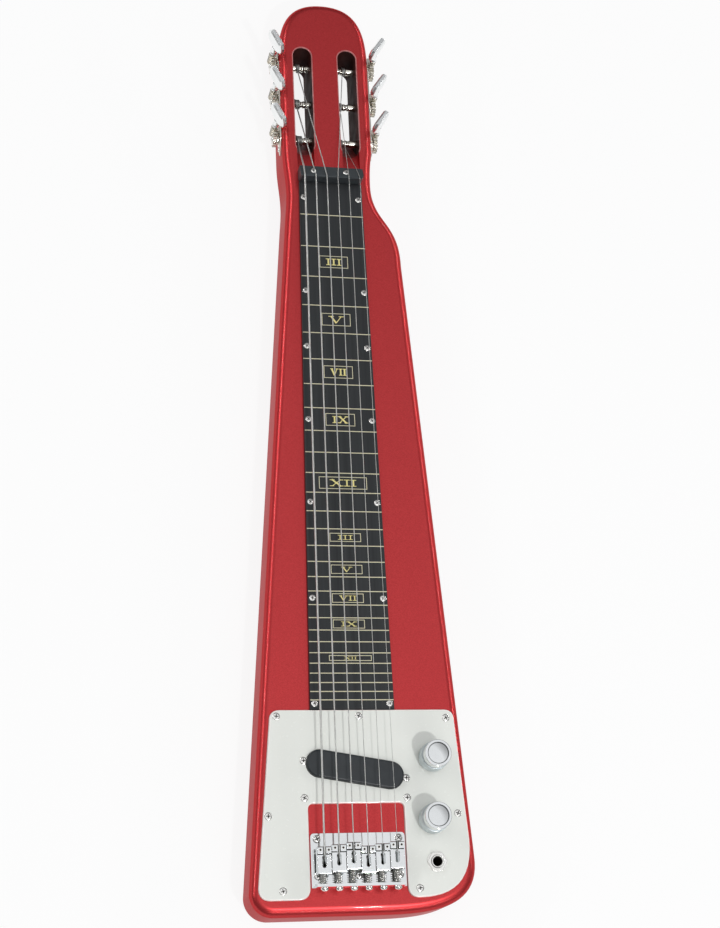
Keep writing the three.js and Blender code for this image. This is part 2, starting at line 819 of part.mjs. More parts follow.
function saddle(tuner) {
  const half = saddleWidth / 2;
  const front = saddleFront(tuner.index);
  const rear = front - saddleLength;
  const bossRear = front - saddleBossLength;
  const block = box(-half, half, rear, front, saddleBottom, saddleTop);
  const boss = box(-half, half, bossRear, front, saddleBottom, saddleTop + saddleBossHeight);
  const legs = sides.map((side) =>
    rod(heightScrewRadius, plateTop, saddleTop, 6)
      .translate(side * (half - heightScrewRadius * 1.6), front - saddleBossLength / 2, 0));
  const grooveBottom = stringZ - tuner.radius - seatGap;
  const grooveHalf = saddleGrooveWidth / 2;
  const groove = box(
    -grooveHalf, grooveHalf,
    bossRear - cutOverrun, front + cutOverrun,
    grooveBottom, saddleTop + cutOverrun,
  );
  const slotPlan = roundedRectangle(
    -saddleSlotWidth / 2, saddleSlotWidth / 2,
    bossRear - saddleSlotLength, bossRear,
    saddleSlotWidth * 0.45,
  );
  const slot = prism(slotPlan, saddleBottom - cutOverrun, saddleTop + cutOverrun, 1);
  const bore = alongY(rod(intonationBore, -cutOverrun, intonationBite, 6))
    .translate(0, rear, intonationZ);
  return cut(
    join(block, boss, ...legs),
    groove,
    slot,
    bore,
    stringTool(tuner).translate(-bridgeStringX(tuner.index), 0, 0),
  );
}

// Each saddle is held by a long screw that passes through the upstand from behind.
function intonationScrew(index) {
  const reach = saddleFront(index) - saddleLength + intonationBite - faceGap - bridgeRear;
  const profile = [
    [0, -seatGap - intonationHeadLength],
    [intonationHeadRadius * 0.8, -seatGap - intonationHeadLength],
    [intonationHeadRadius, -seatGap - intonationHeadLength * 0.6],
    [intonationHeadRadius, -seatGap],
    [intonationRadius, -seatGap],
    [intonationRadius, reach],
    [0, reach],
  ];
  return alongY(turned(profile, 6));
}

tuners.forEach((tuner) => {
  add(`saddle_${tuner.number}`, saddle(tuner), chrome).position.x = bridgeStringX(tuner.index);
  const screw = add(`intonation_screw_${tuner.number}`, intonationScrew(tuner.index), nickel);
  screw.position.set(bridgeStringX(tuner.index), bridgeRear, intonationZ);
});

// Worm and gear sizes: the centre distance, the lead of the thread and the slant of the teeth

const wormOffset = gearPitchRadius + wormPitchRadius;
const wormLead = (2 * Math.PI * gearPitchRadius) / gearTeeth;
const toothSlant = wormLead / (2 * Math.PI * wormPitchRadius);
const wormRoot = wormPitchRadius - wormDedendum;
const wormCrest = wormPitchRadius + wormAddendum;
const plateOuter = headHalfWidth + tunerPlateThickness;
const wormX = plateOuter + wormStandOff + wormCrest;
const earLow = wormLength / 2 + faceGap;

// Tuner plates: one on each side of the head, each with three pairs of bearing ears

function tunerPlate(side) {
  const half = tunerPlateHalfWidth;
  const tail = tunerPlateHalfLength - tunerPlateTail;
  const hollow = tail + tunerPlateTail * 0.3;
  const outline = new THREE.Shape();
  outline.moveTo(-tail, -half);
  outline.lineTo(tail, -half);
  outline.quadraticCurveTo(hollow, -half * 0.6, tunerPlateHalfLength, 0);
  outline.quadraticCurveTo(hollow, half * 0.6, tail, half);
  outline.lineTo(-tail, half);
  outline.quadraticCurveTo(-hollow, half * 0.6, -tunerPlateHalfLength, 0);
  outline.quadraticCurveTo(-hollow, -half * 0.6, -tail, -half);
  rollerYs.forEach((y) => outline.holes.push(circle(y - rollerYs[1], 0, rollerBore)));
  const plate = acrossX(prism(outline, 0, tunerPlateThickness, 4))
    .translate(side > 0 ? headHalfWidth : -plateOuter, rollerYs[1], rollerZ);
  const ears = rollerYs.flatMap((y) => [earLow, -earLow - earThickness].map((low) => {
    const root = headHalfWidth - wormX;
    const ear = new THREE.Shape();
    ear.moveTo(-earHalfWidth, root);
    ear.lineTo(earHalfWidth, root);
    ear.lineTo(earHalfWidth, 0);
    ear.absarc(0, 0, earHalfWidth, 0, Math.PI);
    ear.holes.push(circle(0, 0, wormShaftRadius + runningGap));
    return prism(ear, low, low + earThickness, 3)
      .rotateZ((-side * Math.PI) / 2)
      .translate(side * wormX, y + wormOffset, rollerZ);
  }));
  return join(plate, ...ears);
}

add('tuner_plate_left', tunerPlate(-1), nickel);
add('tuner_plate_right', tunerPlate(1), nickel);

// Rollers: a post through side wall and slot, with its string wound on it and a collar by the plate

function roller({ side, radius, reach, windingWay }) {
  const first = reach + windingWay * (radius + seatGap);
  const last = first + windingWay * windingTurns * 2 * radius;
  const start = Math.min(first, last);
  const valley = rollerRadius + 0.6 * radius;
  const crest = rollerRadius + 1.7 * radius;
  const winding = [...Array(windingTurns).keys()].flatMap((wrap) => [
    [valley, start + wrap * 2 * radius],
    [crest, start + (wrap * 2 + 1) * radius],
  ]);
  const end = start + windingTurns * 2 * radius;
  const collarEnd = wormX - gearThickness / 2 - seatGap;
  const tipEnd = wormX + gearThickness / 2 + seatGap;
  const profile = [
    [0, rollerInner + seatGap],
    [rollerRadius, rollerInner + seatGap],
    [rollerRadius, start],
    ...winding,
    [valley, end],
    [rollerRadius, end],
    [rollerRadius, plateOuter + seatGap],
    [rollerCollarRadius, plateOuter + seatGap],
    [rollerCollarRadius, collarEnd],
    [rollerTipRadius, collarEnd],
    [rollerTipRadius, tipEnd],
    [0, tipEnd],
  ];
  return turned(profile, 8).rotateY((side * Math.PI) / 2);
}

// Gear: its teeth are slanted to lie along the worm's thread, and a gap between teeth faces the worm

function gear() {
  const outer = gearPitchRadius + gearAddendum;
  const root = gearPitchRadius - gearDedendum;
  const pitch = (2 * Math.PI) / gearTeeth;
  const rootHalf = (gearToothShare * gearRootShare * pitch) / 2;
  const tipHalf = (gearToothShare * gearTipShare * pitch) / 2;
  const at = (radius, angle) => [radius * Math.cos(angle), radius * Math.sin(angle)];
  const shape = polygon([...Array(gearTeeth).keys()].flatMap((tooth) => {
    const middle = (tooth + 0.5) * pitch;
    return [
      at(root, middle - rootHalf),
      at(outer, middle - tipHalf),
      at(outer, middle + tipHalf),
      at(root, middle + rootHalf),
    ];
  }));
  shape.holes.push(circle(0, 0, rollerTipRadius + faceGap));
  const wheel = prism(shape, -gearThickness / 2, gearThickness / 2, 3);
  const corners = wheel.attributes.position;
  const corner = new THREE.Vector3();
  const axis = new THREE.Vector3(0, 0, 1);
  for (let place = 0; place < corners.count; place += 1) {
    corner.fromBufferAttribute(corners, place);
    corner.applyAxisAngle(axis, (corner.z * toothSlant) / gearPitchRadius);
    corners.setXYZ(place, ...corner.toArray());
  }
  return acrossX(wheel);
}

// Worm: a thread swept round its core, cut square at both ends, on a shaft that carries the button

const neckLow = earLow + earThickness + buttonStandOff;

function worm() {
  const stepsPerTurn = 10;
  const steps = Math.ceil((wormLength / 2 / wormLead + 1) * stepsPerTurn);
  const crestHalf = ((wormThreadShare - wormFlankShare) / 2) * wormLead;
  const rootHalf = ((wormThreadShare + wormFlankShare) / 2) * wormLead;
  const section = [
    [wormRoot * 0.8, rootHalf],
    [wormRoot, rootHalf],
    [wormCrest, crestHalf],
    [wormCrest, -crestHalf],
    [wormRoot, -rootHalf],
    [wormRoot * 0.8, -rootHalf],
  ];
  const rings = [...Array(2 * steps + 1).keys()].map((place) => {
    const turns = (place - steps) / stepsPerTurn;
    const angle = (turns - 0.25) * 2 * Math.PI;
    return section.map(([radius, height]) => new THREE.Vector3(
      radius * Math.cos(angle),
      radius * Math.sin(angle),
      height + turns * wormLead,
    ));
  });
  const half = wormLength / 2;
  const core = rod(wormRoot, -half, half, stepsPerTurn);
  const thread = common(skin(rings), rod(wormCrest * 2, -half, half));
  const shaftLow = -(earLow + earThickness + wormShaftEnd);
  return join(core, thread, rod(wormShaftRadius, shaftLow, neckLow + buttonBoreDepth, 8));
}

// Button: a flared, bevelled key plate on a round neck, bored for the worm's shaft

function button() {
  const half = buttonWidth / 2;
  const halfShares = [[0.5, 0], [0.66, 0.22], [1, 0.6], [0.94, 0.85], [0.6, 1]];
  const right = halfShares.map(([x, z]) => [x * half, z * buttonHeight]);
  const left = right.toReversed().map(([x, z]) => [-x, z]);
  const plateLow = neckLow + buttonNeckLength;
  const plate = rounded(
    polygon([...right, ...left]),
    -buttonThickness / 2, buttonThickness / 2,
    buttonBevel, 1, 1,
  ).rotateX(Math.PI / 2).translate(0, 0, plateLow);
  const neckTop = neckLow + buttonBoreDepth + seatGap + buttonBevel;
  const neck = rod(buttonNeckRadius, neckLow, neckTop, 8);
  const bore = rod(wormShaftRadius + seatGap, neckLow - cutOverrun, neckLow + buttonBoreDepth + seatGap, 6);
  return cut(join(plate, neck), bore);
}

tuners.forEach((tuner) => {
  const { number, side, y } = tuner;
  add(`roller_${number}`, roller(tuner), nickel).position.set(0, y, rollerZ);
  add(`gear_${number}`, gear(), nickel).position.set(side * wormX, y, rollerZ);
  add(`worm_${number}`, worm(), nickel).position.set(side * wormX, y + wormOffset, rollerZ);
  const key = add(`button_${number}`, button(), chrome);
  key.position.set(side * wormX, y + wormOffset, rollerZ);
  key.rotation.z = turn(side < 0 ? leftButtonTurn : rightButtonTurn);
});

// Controls: pots hang under the pickguard by a bushing and a hexagon nut, and knobs sit on their shafts

const potBoreLow = bodyThickness - potDepth / 2;
const knobLow = guardTop + knobLift;
const knobBoreTop = knobLow + knobBoreDepth;

function pot() {
  const bushingTop = guardTop + potBushingAbove;
  const shell = turned([
    [0, bodyThickness - potDepth],
    [potRadius, bodyThickness - potDepth],
    [potRadius, bodyThickness],
    [potBushingRadius, bodyThickness],
    [potBushingRadius, bushingTop],
    [0, bushingTop],
  ], 12);
  const bore = rod(potShaftRadius + runningGap, potBoreLow, bushingTop + cutOverrun, 8);
  return cut(join(shell, hexagon(potNutFlats, guardTop, guardTop + potNutHeight)), bore);
}

const potShaft = () => rod(potShaftRadius, potBoreLow + seatGap, knobBoreTop - seatGap, 8);

function knob() {
  const knurlTop = knobLow + knobKnurlHeight;
  const top = knobLow + knobHeight;
  const knurlRadius = (corner) => knobBaseRadius - (corner % 2) * knobKnurlDepth;
  const knurl = polygon([...Array(2 * knobKnurls).keys()].map((corner) => {
    const angle = (Math.PI * corner) / knobKnurls;
    return [knurlRadius(corner) * Math.cos(angle), knurlRadius(corner) * Math.sin(angle)];
  }));
  const crown = turned([
    [0, knobLow],
    [knobTopRadius - knobGroove, knobLow],
    [knobTopRadius - knobGroove, knurlTop + knobGrooveWidth],
    [knobTopRadius, knurlTop + knobGrooveWidth],
    [knobTopRadius, top - knobChamfer],
    [knobTopRadius - knobChamfer, top],
    [0, top],
  ], 16);
  const bore = rod(potShaftRadius + seatGap, knobLow - cutOverrun, knobBoreTop, 8);
  return cut(join(prism(knurl, knobLow, knurlTop), crown), bore);
}

[['volume', volumeX, volumeY], ['tone', toneX, toneY]].forEach(([name, x, y]) => {
  add(`pot_${name}`, pot(), nickel).position.set(x, y, 0);
  add(`pot_shaft_${name}`, potShaft(), nickel).position.set(x, y, 0);
  add(`knob_${name}`, knob(), chrome).position.set(x, y, 0);
});

// Jack: a bored sleeve through the pickguard over a round case, held by a hexagon nut

function jack() {
  const caseLow = bodyThickness - jackCaseDepth;
  const sleeveTop = guardTop + jackSleeveAbove;
  return turned([
    [0, caseLow],
    [jackCaseRadius, caseLow],
    [jackCaseRadius, bodyThickness],
    [jackSleeveRadius, bodyThickness],
    [jackSleeveRadius, sleeveTop],
    [jackBoreRadius, sleeveTop],
    [jackBoreRadius, caseLow + jackCaseWall],
    [0, caseLow + jackCaseWall],
  ], 12);
}

function jackNut() {
  const ring = hexagon(jackNutFlats, guardTop, guardTop + jackNutHeight);
  return cut(ring, rod(jackSleeveRadius + seatGap, guardTop - cutOverrun, guardTop + cutOverrun, 12));
}

add('jack', jack(), nickel).position.set(jackX, jackY, 0);
add('jack_nut', jackNut(), nickel).position.set(jackX, jackY, 0);

export default guitar;
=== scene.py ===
import json
import math
import random

import bmesh
import bpy
from mathutils import Matrix, Quaternion, Vector

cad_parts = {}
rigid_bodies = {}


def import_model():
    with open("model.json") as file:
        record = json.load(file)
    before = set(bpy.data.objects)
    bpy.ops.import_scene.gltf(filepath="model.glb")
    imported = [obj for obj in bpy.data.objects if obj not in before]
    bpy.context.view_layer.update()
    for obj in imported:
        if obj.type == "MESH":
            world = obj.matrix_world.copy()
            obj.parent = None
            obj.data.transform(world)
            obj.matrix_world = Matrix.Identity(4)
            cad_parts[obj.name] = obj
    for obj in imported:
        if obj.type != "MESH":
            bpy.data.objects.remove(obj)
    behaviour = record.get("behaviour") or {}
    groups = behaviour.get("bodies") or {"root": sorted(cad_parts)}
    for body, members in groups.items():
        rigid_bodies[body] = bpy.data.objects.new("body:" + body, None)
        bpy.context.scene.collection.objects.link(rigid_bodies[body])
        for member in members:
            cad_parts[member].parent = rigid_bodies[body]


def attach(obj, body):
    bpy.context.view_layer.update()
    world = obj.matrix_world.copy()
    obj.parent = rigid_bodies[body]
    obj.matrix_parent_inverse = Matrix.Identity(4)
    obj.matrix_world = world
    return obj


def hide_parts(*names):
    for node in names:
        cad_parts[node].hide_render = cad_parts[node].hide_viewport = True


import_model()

# The whole guitar
# Its pieces are already in place in the frame, in metres, lying on the flat back with +Z up.
# All sizes here are real ones, written in millimetres and turned into metres.
mm = 0.001
scene = bpy.context.scene
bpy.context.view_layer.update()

# Camera
# The picture is taken from high above the tail, on the bass side, with the camera rolled so that
# the strings run up the frame.
camera_place = Vector((-269.8, -703.5, 1337.2)) * mm
camera_aim = Vector((38.16, -228.46, 41)) * mm
camera_roll = math.radians(32.32)
film_width = 36
lens_length = 70.975
view_shift = (-0.0323, -0.0161)
camera_data = bpy.data.cameras.new("camera")
camera_data.sensor_width = film_width
camera_data.lens = lens_length
camera_data.shift_x, camera_data.shift_y = view_shift
camera = bpy.data.objects.new("camera", camera_data)
scene.collection.objects.link(camera)
scene.camera = camera
camera.location = camera_place
camera.rotation_mode = "QUATERNION"
looking = (camera_aim - camera_place).to_track_quat("-Z", "Y")
camera.rotation_quaternion = looking @ Quaternion((0, 0, 1), camera_roll)

# Studio
# A pale floor inside a soft white tent, which is brightest overhead and dark round its foot. A soft box
# on each side and at the tail draws the bright lines along the lacquered edges, and a small lamp high
# over the tail casts the fine shadows.
floor_size = 8
floor_drop = 0.2 * mm
floor_color = (0.9, 0.9, 0.9, 1)
floor_glow_share = 0.87
tent_shares = [(0.0, 0.08), (0.2, 0.1), (0.34, 0.24), (0.8, 0.3), (0.92, 1)]
tent_tint_shares = (0.97, 0.98, 1)
tent_strength = 0.98
# Each lamp: its place, the point that it faces, its width and length in metres, and its watts.
lamps = {
    "box_left": ((-1.5, 0.45, 1.0), (0, -0.2, 0), 2.2, 0.07, 10),
    "box_right": ((1.6, 0.5, 0.75), (0, -0.2, 0), 2.2, 0.06, 9),
    "box_tail": ((0.5, -2.1, 1.2), (0, -0.4, 0), 1.4, 0.05, 7),
    "key": ((0.42, -1.3, 1.85), (0, -0.3, 0), 0.05, 0.05, 11),
}
scene.view_settings.view_transform = "Standard"


def set_sockets(node, values):
    for socket, value in values.items():
        node.inputs[socket.replace("_", " ")].default_value = value


def new_node(tree, kind, **values):
    node = tree.nodes.new(kind)
    set_sockets(node, values)
    return node


def mix_by(tree, factor, first, second):
    mix = new_node(tree, "ShaderNodeMixShader")
    for place, output in enumerate((factor, first.outputs[0], second.outputs[0])):
        tree.links.new(output, mix.inputs[place])
    return mix.outputs[0]


def studio_floor():
    material = bpy.data.materials.new("floor_paper")
    material.use_nodes = True
    tree = material.node_tree
    tree.nodes.clear()
    output = new_node(tree, "ShaderNodeOutputMaterial")
    paper = new_node(tree, "ShaderNodeBsdfDiffuse", Color=floor_color)
    glow = new_node(tree, "ShaderNodeEmission", Strength=1)
    rays = new_node(tree, "ShaderNodeLightPath")
    # The camera, gloss and glass see the paper nearly white, and its shadows come from the rest.
    seen = None
    for ray in ("Is Camera Ray", "Is Glossy Ray", "Is Transmission Ray"):
        share = new_node(tree, "ShaderNodeMath")
        share.operation = "MULTIPLY_ADD"
        share.inputs[1].default_value = floor_glow_share
        share.inputs[2].default_value = 0
        tree.links.new(rays.outputs[ray], share.inputs[0])
        if seen:
            tree.links.new(seen, share.inputs[2])
        seen = share.outputs[0]
    tree.links.new(mix_by(tree, seen, paper, glow), output.inputs["Surface"])
    mesh = bpy.data.meshes.new("floor")
    half = floor_size / 2
    corners = [(-half, -half, 0), (half, -half, 0), (half, half, 0), (-half, half, 0)]
    mesh.from_pydata(corners, [], [(0, 1, 2, 3)])
    mesh.materials.append(material)
    floor = bpy.data.objects.new("floor", mesh)
    scene.collection.objects.link(floor)
    floor.location.z = -floor_drop


def studio_tent():
    world = bpy.data.worlds.new("tent")
    scene.world = world
    world.use_nodes = True
    tree = world.node_tree
    background = tree.nodes["Background"]
    white = new_node(tree, "ShaderNodeBackground", Color=(1, 1, 1, 1))
    rays = new_node(tree, "ShaderNodeLightPath")
    place = new_node(tree, "ShaderNodeTexCoord")
    split = new_node(tree, "ShaderNodeSeparateXYZ")
    shade = new_node(tree, "ShaderNodeValToRGB")
    steps = shade.color_ramp.elements
    while len(steps) < len(tent_shares):
        steps.new(0.5)
    for step, (height, brightness) in zip(steps, tent_shares):
        step.position = height
        step.color = (*(brightness * share for share in tent_tint_shares), 1)
    background.inputs["Strength"].default_value = tent_strength
    tree.links.new(place.outputs["Generated"], split.inputs[0])
    tree.links.new(split.outputs["Z"], shade.inputs["Fac"])
    tree.links.new(shade.outputs["Color"], background.inputs["Color"])
    # Beyond the floor the camera sees plain white.
    seen = mix_by(tree, rays.outputs["Is Camera Ray"], background, white)
    tree.links.new(seen, tree.nodes["World Output"].inputs["Surface"])


def lamp(name, place, aim, width, length, power):
    data = bpy.data.lights.new(name, "AREA")
    data.shape = "RECTANGLE"
    data.size = width
    data.size_y = length
    data.energy = power
    made = bpy.data.objects.new(name, data)
    scene.collection.objects.link(made)
    made.location = place
    made.rotation_mode = "QUATERNION"
    made.rotation_quaternion = (Vector(aim) - Vector(place)).to_track_quat("-Z", "Y")


studio_floor()
studio_tent()
for name, setting in lamps.items():
    lamp(name, *setting)

# Body
# One slab of solid wood, cut to outline, rounded over along its top and back edges, and finished in
# a red metallic lacquer under clear gloss. Two long slots pass through the head for the strings.
body_thickness = 38 * mm
top_round = 7 * mm
back_round = 3 * mm
scale_length = 530 * mm
head_length = 171.3 * mm
head_half_width = 37.4 * mm
head_shoulder = 53.3 * mm
head_crown_half_width = 30 * mm
head_taper = 33 * mm
waist_half_width = 35 * mm
left_waist_drop = 8 * mm
right_waist_rise = 4 * mm
left_flare_drop = 28 * mm
left_flare_half_width = 36.3 * mm
right_shoulder_half_width = 57.3 * mm
right_shoulder_drop = 68 * mm
tail_y = -578.2 * mm
tail_left = 78.2 * mm
tail_left_corner = 17 * mm
tail_right = 87.5 * mm
tail_right_reach = 77.5 * mm
tail_right_rise = 40 * mm
slot_inner = 11.1 * mm
slot_width = 15.4 * mm
slot_low = 28.5 * mm
slot_high = 126.5 * mm
slot_rim = 0.9 * mm
relief_width = 14 * mm
relief_length = 16 * mm
relief_depth = 9 * mm
ramp_reach = 30 * mm
ramp_rise = 31.5 * mm
ramp_foot = 0.3 * mm
ramp_bite = 1 * mm
roller_z = 25 * mm
roller_ys = [45.4 * mm, 79.7 * mm, 114 * mm]
roller_hole_radius = 3.4 * mm
roller_seat_depth = 6 * mm
bridge_pitch = 10.57 * mm
bridge_xs = [(index - 2.5) * bridge_pitch for index in range(6)]
string_hole_behind = 15.5 * mm
string_hole_radius = 1.8 * mm
ferrule_seat_radius = 3.6 * mm
ferrule_depth = 9 * mm
pickup_hollow_xs = (-43 * mm, 43 * mm)
pickup_hollow_ys = (-491 * mm, -461 * mm)
pickup_hollow_floor = 16 * mm
control_hollow_xs = (44 * mm, 68 * mm)
control_hollow_ys = (-551 * mm, -457 * mm)
control_hollow_floor = 6 * mm
flake_size = 0.35 * mm
circle_handle_share = 0.5523
overrun = 5 * mm
weld = 0.001 * mm
slot_centre = slot_inner + slot_width / 2
roller_inner = slot_inner - roller_seat_depth
string_hole_y = -(scale_length + string_hole_behind)
left_flank_end = tail_y + tail_left_corner
right_flank_end = tail_y + tail_right_rise


def new_material(name, **sockets):
    material = bpy.data.materials.new(name)
    material.use_nodes = True
    set_sockets(material.node_tree.nodes["Principled BSDF"], sockets)
    return material


def noise(material, scale, stretch=(1, 1, 1), detail=3):
    tree = material.node_tree
    place = new_node(tree, "ShaderNodeTexCoord")
    drawn_out = new_node(tree, "ShaderNodeMapping", Scale=stretch)
    texture = new_node(tree, "ShaderNodeTexNoise", Scale=scale, Detail=detail)
    tree.links.new(place.outputs["Object"], drawn_out.inputs["Vector"])
    tree.links.new(drawn_out.outputs["Vector"], texture.inputs["Vector"])
    return texture.outputs["Fac"]


def flakes(material, size):
    tree = material.node_tree
    place = new_node(tree, "ShaderNodeTexCoord")
    texture = new_node(tree, "ShaderNodeTexVoronoi", Scale=1 / size)
    split = new_node(tree, "ShaderNodeSeparateColor")
    tree.links.new(place.outputs["Object"], texture.inputs["Vector"])
    tree.links.new(texture.outputs["Color"], split.inputs["Color"])
    return split.outputs["Red"]


def feed(material, factor, node, inlet, outlet, socket):
    tree = material.node_tree
    tree.links.new(factor, node.inputs[inlet])
    tree.links.new(node.outputs[outlet], tree.nodes["Principled BSDF"].inputs[socket])


def vary_color(material, factor, dark, light, start=0.3, end=0.7):
    ramp = new_node(material.node_tree, "ShaderNodeValToRGB")
    for stop, place, color in zip(ramp.color_ramp.elements, (start, end), (dark, light)):
        stop.position = place
        stop.color = (*color, 1)
    feed(material, factor, ramp, "Fac", "Color", "Base Color")


def vary_roughness(material, factor, low, high, start=0.3, end=0.7):
    spread = new_node(
        material.node_tree, "ShaderNodeMapRange", From_Min=start, From_Max=end, To_Min=low, To_Max=high,
    )
    feed(material, factor, spread, "Value", "Result", "Roughness")


def emboss(material, factor, depth, strength):
    bump = new_node(material.node_tree, "ShaderNodeBump", Distance=depth, Strength=strength)
    feed(material, factor, bump, "Height", "Normal", "Normal")


def trace(start, *stretches, steps=24):
    points = [Vector(start)]
    for controls in stretches:
        ends = [points[-1]] + [Vector(point) for point in controls]
        if len(ends) == 2:
            points.append(ends[1])
            continue
        if len(ends) == 3:
            first, middle, last = ends
            ends = [first, first.lerp(middle, 2 / 3), last.lerp(middle, 2 / 3), last]
        for step in range(1, steps + 1):
            share = step / steps
            rest = 1 - share
            near = ends[0] * rest**3 + ends[1] * 3 * rest**2 * share
            far = ends[2] * 3 * rest * share**2 + ends[3] * share**3
            points.append(near + far)
    if (points[0] - points[-1]).length < weld:
        points.pop()
    return points


def inset(outline, distance):
    moved = []
    for place, point in enumerate(outline):
        before = (point - outline[place - 1]).normalized()
        after = (outline[(place + 1) % len(outline)] - point).normalized()
        inward = [Vector((-way.y, way.x)) for way in (before, after)]
        mitre = (inward[0] + inward[1]) / (1 + inward[0].dot(inward[1]))
        moved.append(point + mitre * distance)
    return moved


def rounding(radius, steps=6):
    if radius == 0:
        return [(0, 0)]
    angles = [math.pi / 2 * step / steps for step in range(steps + 1)]
    return [(radius * (1 - math.sin(angle)), radius * (1 - math.cos(angle))) for angle in angles]


def plate_mesh(name, outline, low, high, top=0, back=0, steps=6):
    levels = [(shift, low + rise) for shift, rise in rounding(back, steps)]
    levels += [(shift, high - rise) for shift, rise in reversed(rounding(top, steps))]
    return stepped_mesh(name, outline, levels)


def stepped_mesh(name, outline, levels):
    rings = [[(*point, height) for point in inset(outline, shift)] for shift, height in levels]
    return skin_mesh(name, rings)


def profile_mesh(name, profile, half_width, centre=0):
    return skin_mesh(name, [[(centre + x, y, z) for y, z in profile] for x in (-half_width, half_width)])


def skin_mesh(name, rings):
    count = len(rings[0])
    corners = [corner for ring in rings for corner in ring]
    faces = [tuple(reversed(range(count)))]
    for ring in range(len(rings) - 1):
        for corner in range(count):
            after = (corner + 1) % count
            start = ring * count
            faces.append((start + corner, start + after, start + count + after, start + count + corner))
    faces.append(tuple(range(len(corners) - count, len(corners))))
    mesh = bpy.data.meshes.new(name)
    mesh.from_pydata(corners, [], faces)
    return mesh


def join_rings(made, rings):
    for here, there in zip(rings, rings[1:]):
        for level in range(len(here) - 1):
            made.faces.new((here[level], there[level], there[level + 1], here[level + 1]))
    bmesh.ops.remove_doubles(made, verts=made.verts, dist=weld)
    bmesh.ops.dissolve_degenerate(made, edges=made.edges, dist=weld)


def mesh_from(name, made):
    mesh = bpy.data.meshes.new(name)
    made.to_mesh(mesh)
    made.free()
    return mesh


def lathe_mesh(name, profile, sides=32):
    made = bmesh.new()
    rings = []
    for side in range(sides):
        angle = 2 * math.pi * side / sides
        rings.append([
            made.verts.new((radius * math.cos(angle), radius * math.sin(angle), height))
            for radius, height in profile
        ])
    join_rings(made, [*rings, rings[0]])
    return mesh_from(name, made)


def rod_mesh(radius, low, high, sides=32, place=(0, 0, 0)):
    return placed(lathe_mesh("rod", [(0, low), (radius, low), (radius, high), (0, high)], sides), place)


def box_mesh(name, low, high):
    corners = [(low[0], low[1]), (high[0], low[1]), (high[0], high[1]), (low[0], high[1])]
    return plate_mesh(name, [Vector(corner) for corner in corners], low[2], high[2])


def stadium(half_span, radius, steps=16):
    points = []
    for side in (1, -1):
        for step in range(steps + 1):
            angle = math.pi * (step / steps - 0.5)
            reach = half_span + radius * math.cos(angle)
            points.append(Vector((side * reach, side * radius * math.sin(angle))))
    return points


def placed(mesh, place=(0, 0, 0), turn=0, about="Z"):
    mesh.transform(Matrix.Translation(place) @ Matrix.Rotation(turn, 4, about))
    return mesh


def merged(name, meshes):
    made = bmesh.new()
    for mesh in meshes:
        made.from_mesh(mesh)
    return mesh_from(name, made)


def cut_mesh(mesh, tools, wall=None, way="DIFFERENCE"):
    if wall:
        for tool in tools:
            tool.materials.append(wall)
    piece = bpy.data.objects.new("blank", mesh)
    scene.collection.objects.link(piece)
    bench = bpy.data.collections.new("tools")
    scene.collection.children.link(bench)
    for tool in tools:
        bench.objects.link(bpy.data.objects.new("tool", tool))
    saw = piece.modifiers.new("saw", "BOOLEAN")
    saw.operand_type = "COLLECTION"
    saw.collection = bench
    saw.operation = way
    saw.solver = "EXACT"
    saw.material_mode = "TRANSFER"
    bpy.context.view_layer.update()
    result = bpy.data.meshes.new_from_object(piece.evaluated_get(bpy.context.evaluated_depsgraph_get()))
    for used in [piece, *bench.objects]:
        bpy.data.objects.remove(used)
    bpy.data.collections.remove(bench)
    return result


def joined(mesh, *others):
    return cut_mesh(mesh, others, way="UNION")


def fit(name, mesh, material, body, replaces=(), smooth=35, edge=0):
    mesh.name = name
    if not any(mesh.materials):
        mesh.materials.clear()
        mesh.materials.append(material)
    mesh.shade_smooth()
    mesh.set_sharp_from_angle(angle=math.radians(smooth))
    piece = bpy.data.objects.new(name, mesh)
    scene.collection.objects.link(piece)
    if edge:
        soft = piece.modifiers.new("soft_edge", "BEVEL")
        soft.width = edge
        soft.segments = 2
        soft.angle_limit = math.radians(smooth)
        soft.harden_normals = True
    even = piece.modifiers.new("even_shading", "WEIGHTED_NORMAL")
    even.keep_sharp = True
    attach(piece, body)
    if replaces:
        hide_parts(*replaces)
    return piece


def along_line(place, start, start_value, end, end_value):
    return start_value + (end_value - start_value) * (place - start) / (end - start)


def left_flank(y):
    return -along_line(y, -left_flare_drop, left_flare_half_width, left_flank_end, tail_left)


def right_flank(y):
    return along_line(y, -right_shoulder_drop, right_shoulder_half_width, right_flank_end, tail_right)


def body_outline():
    side_top = head_length - head_shoulder
    crown = head_length - head_shoulder * 0.4
    corner = tail_left_corner * circle_handle_share
    return trace(
        (0, head_length),
        [(-head_crown_half_width, head_length), (-head_half_width, crown), (-head_half_width, side_top)],
        [(-head_half_width, head_taper)],
        [
            (-head_half_width, head_taper * 0.5),
            (-waist_half_width, head_taper * 0.2),
            (-waist_half_width, -left_waist_drop),
        ],
        [(-waist_half_width, -left_flare_drop * 0.55), (-left_flare_half_width, -left_flare_drop)],
        [(-tail_left, left_flank_end)],
        [
            (-tail_left, left_flank_end - corner),
            (-tail_left + tail_left_corner - corner, tail_y),
            (-tail_left + tail_left_corner, tail_y),
        ],
        [(tail_right - tail_right_reach, tail_y)],
        [
            (tail_right - tail_right_reach * 0.5, tail_y),
            (tail_right + tail_right_rise * 0.08, tail_y),
            (tail_right, right_flank_end),
        ],
        [(right_shoulder_half_width, -right_shoulder_drop)],
        [
            (right_shoulder_half_width, -right_shoulder_drop * 0.4),
            (waist_half_width, -right_shoulder_drop * 0.45),
            (waist_half_width, right_waist_rise),
        ],
        [(waist_half_width, head_taper * 0.6), (head_half_width, head_taper)],
        [(head_half_width, side_top)],
        [(head_half_width, crown), (head_crown_half_width, head_length), (0, head_length)],
    )


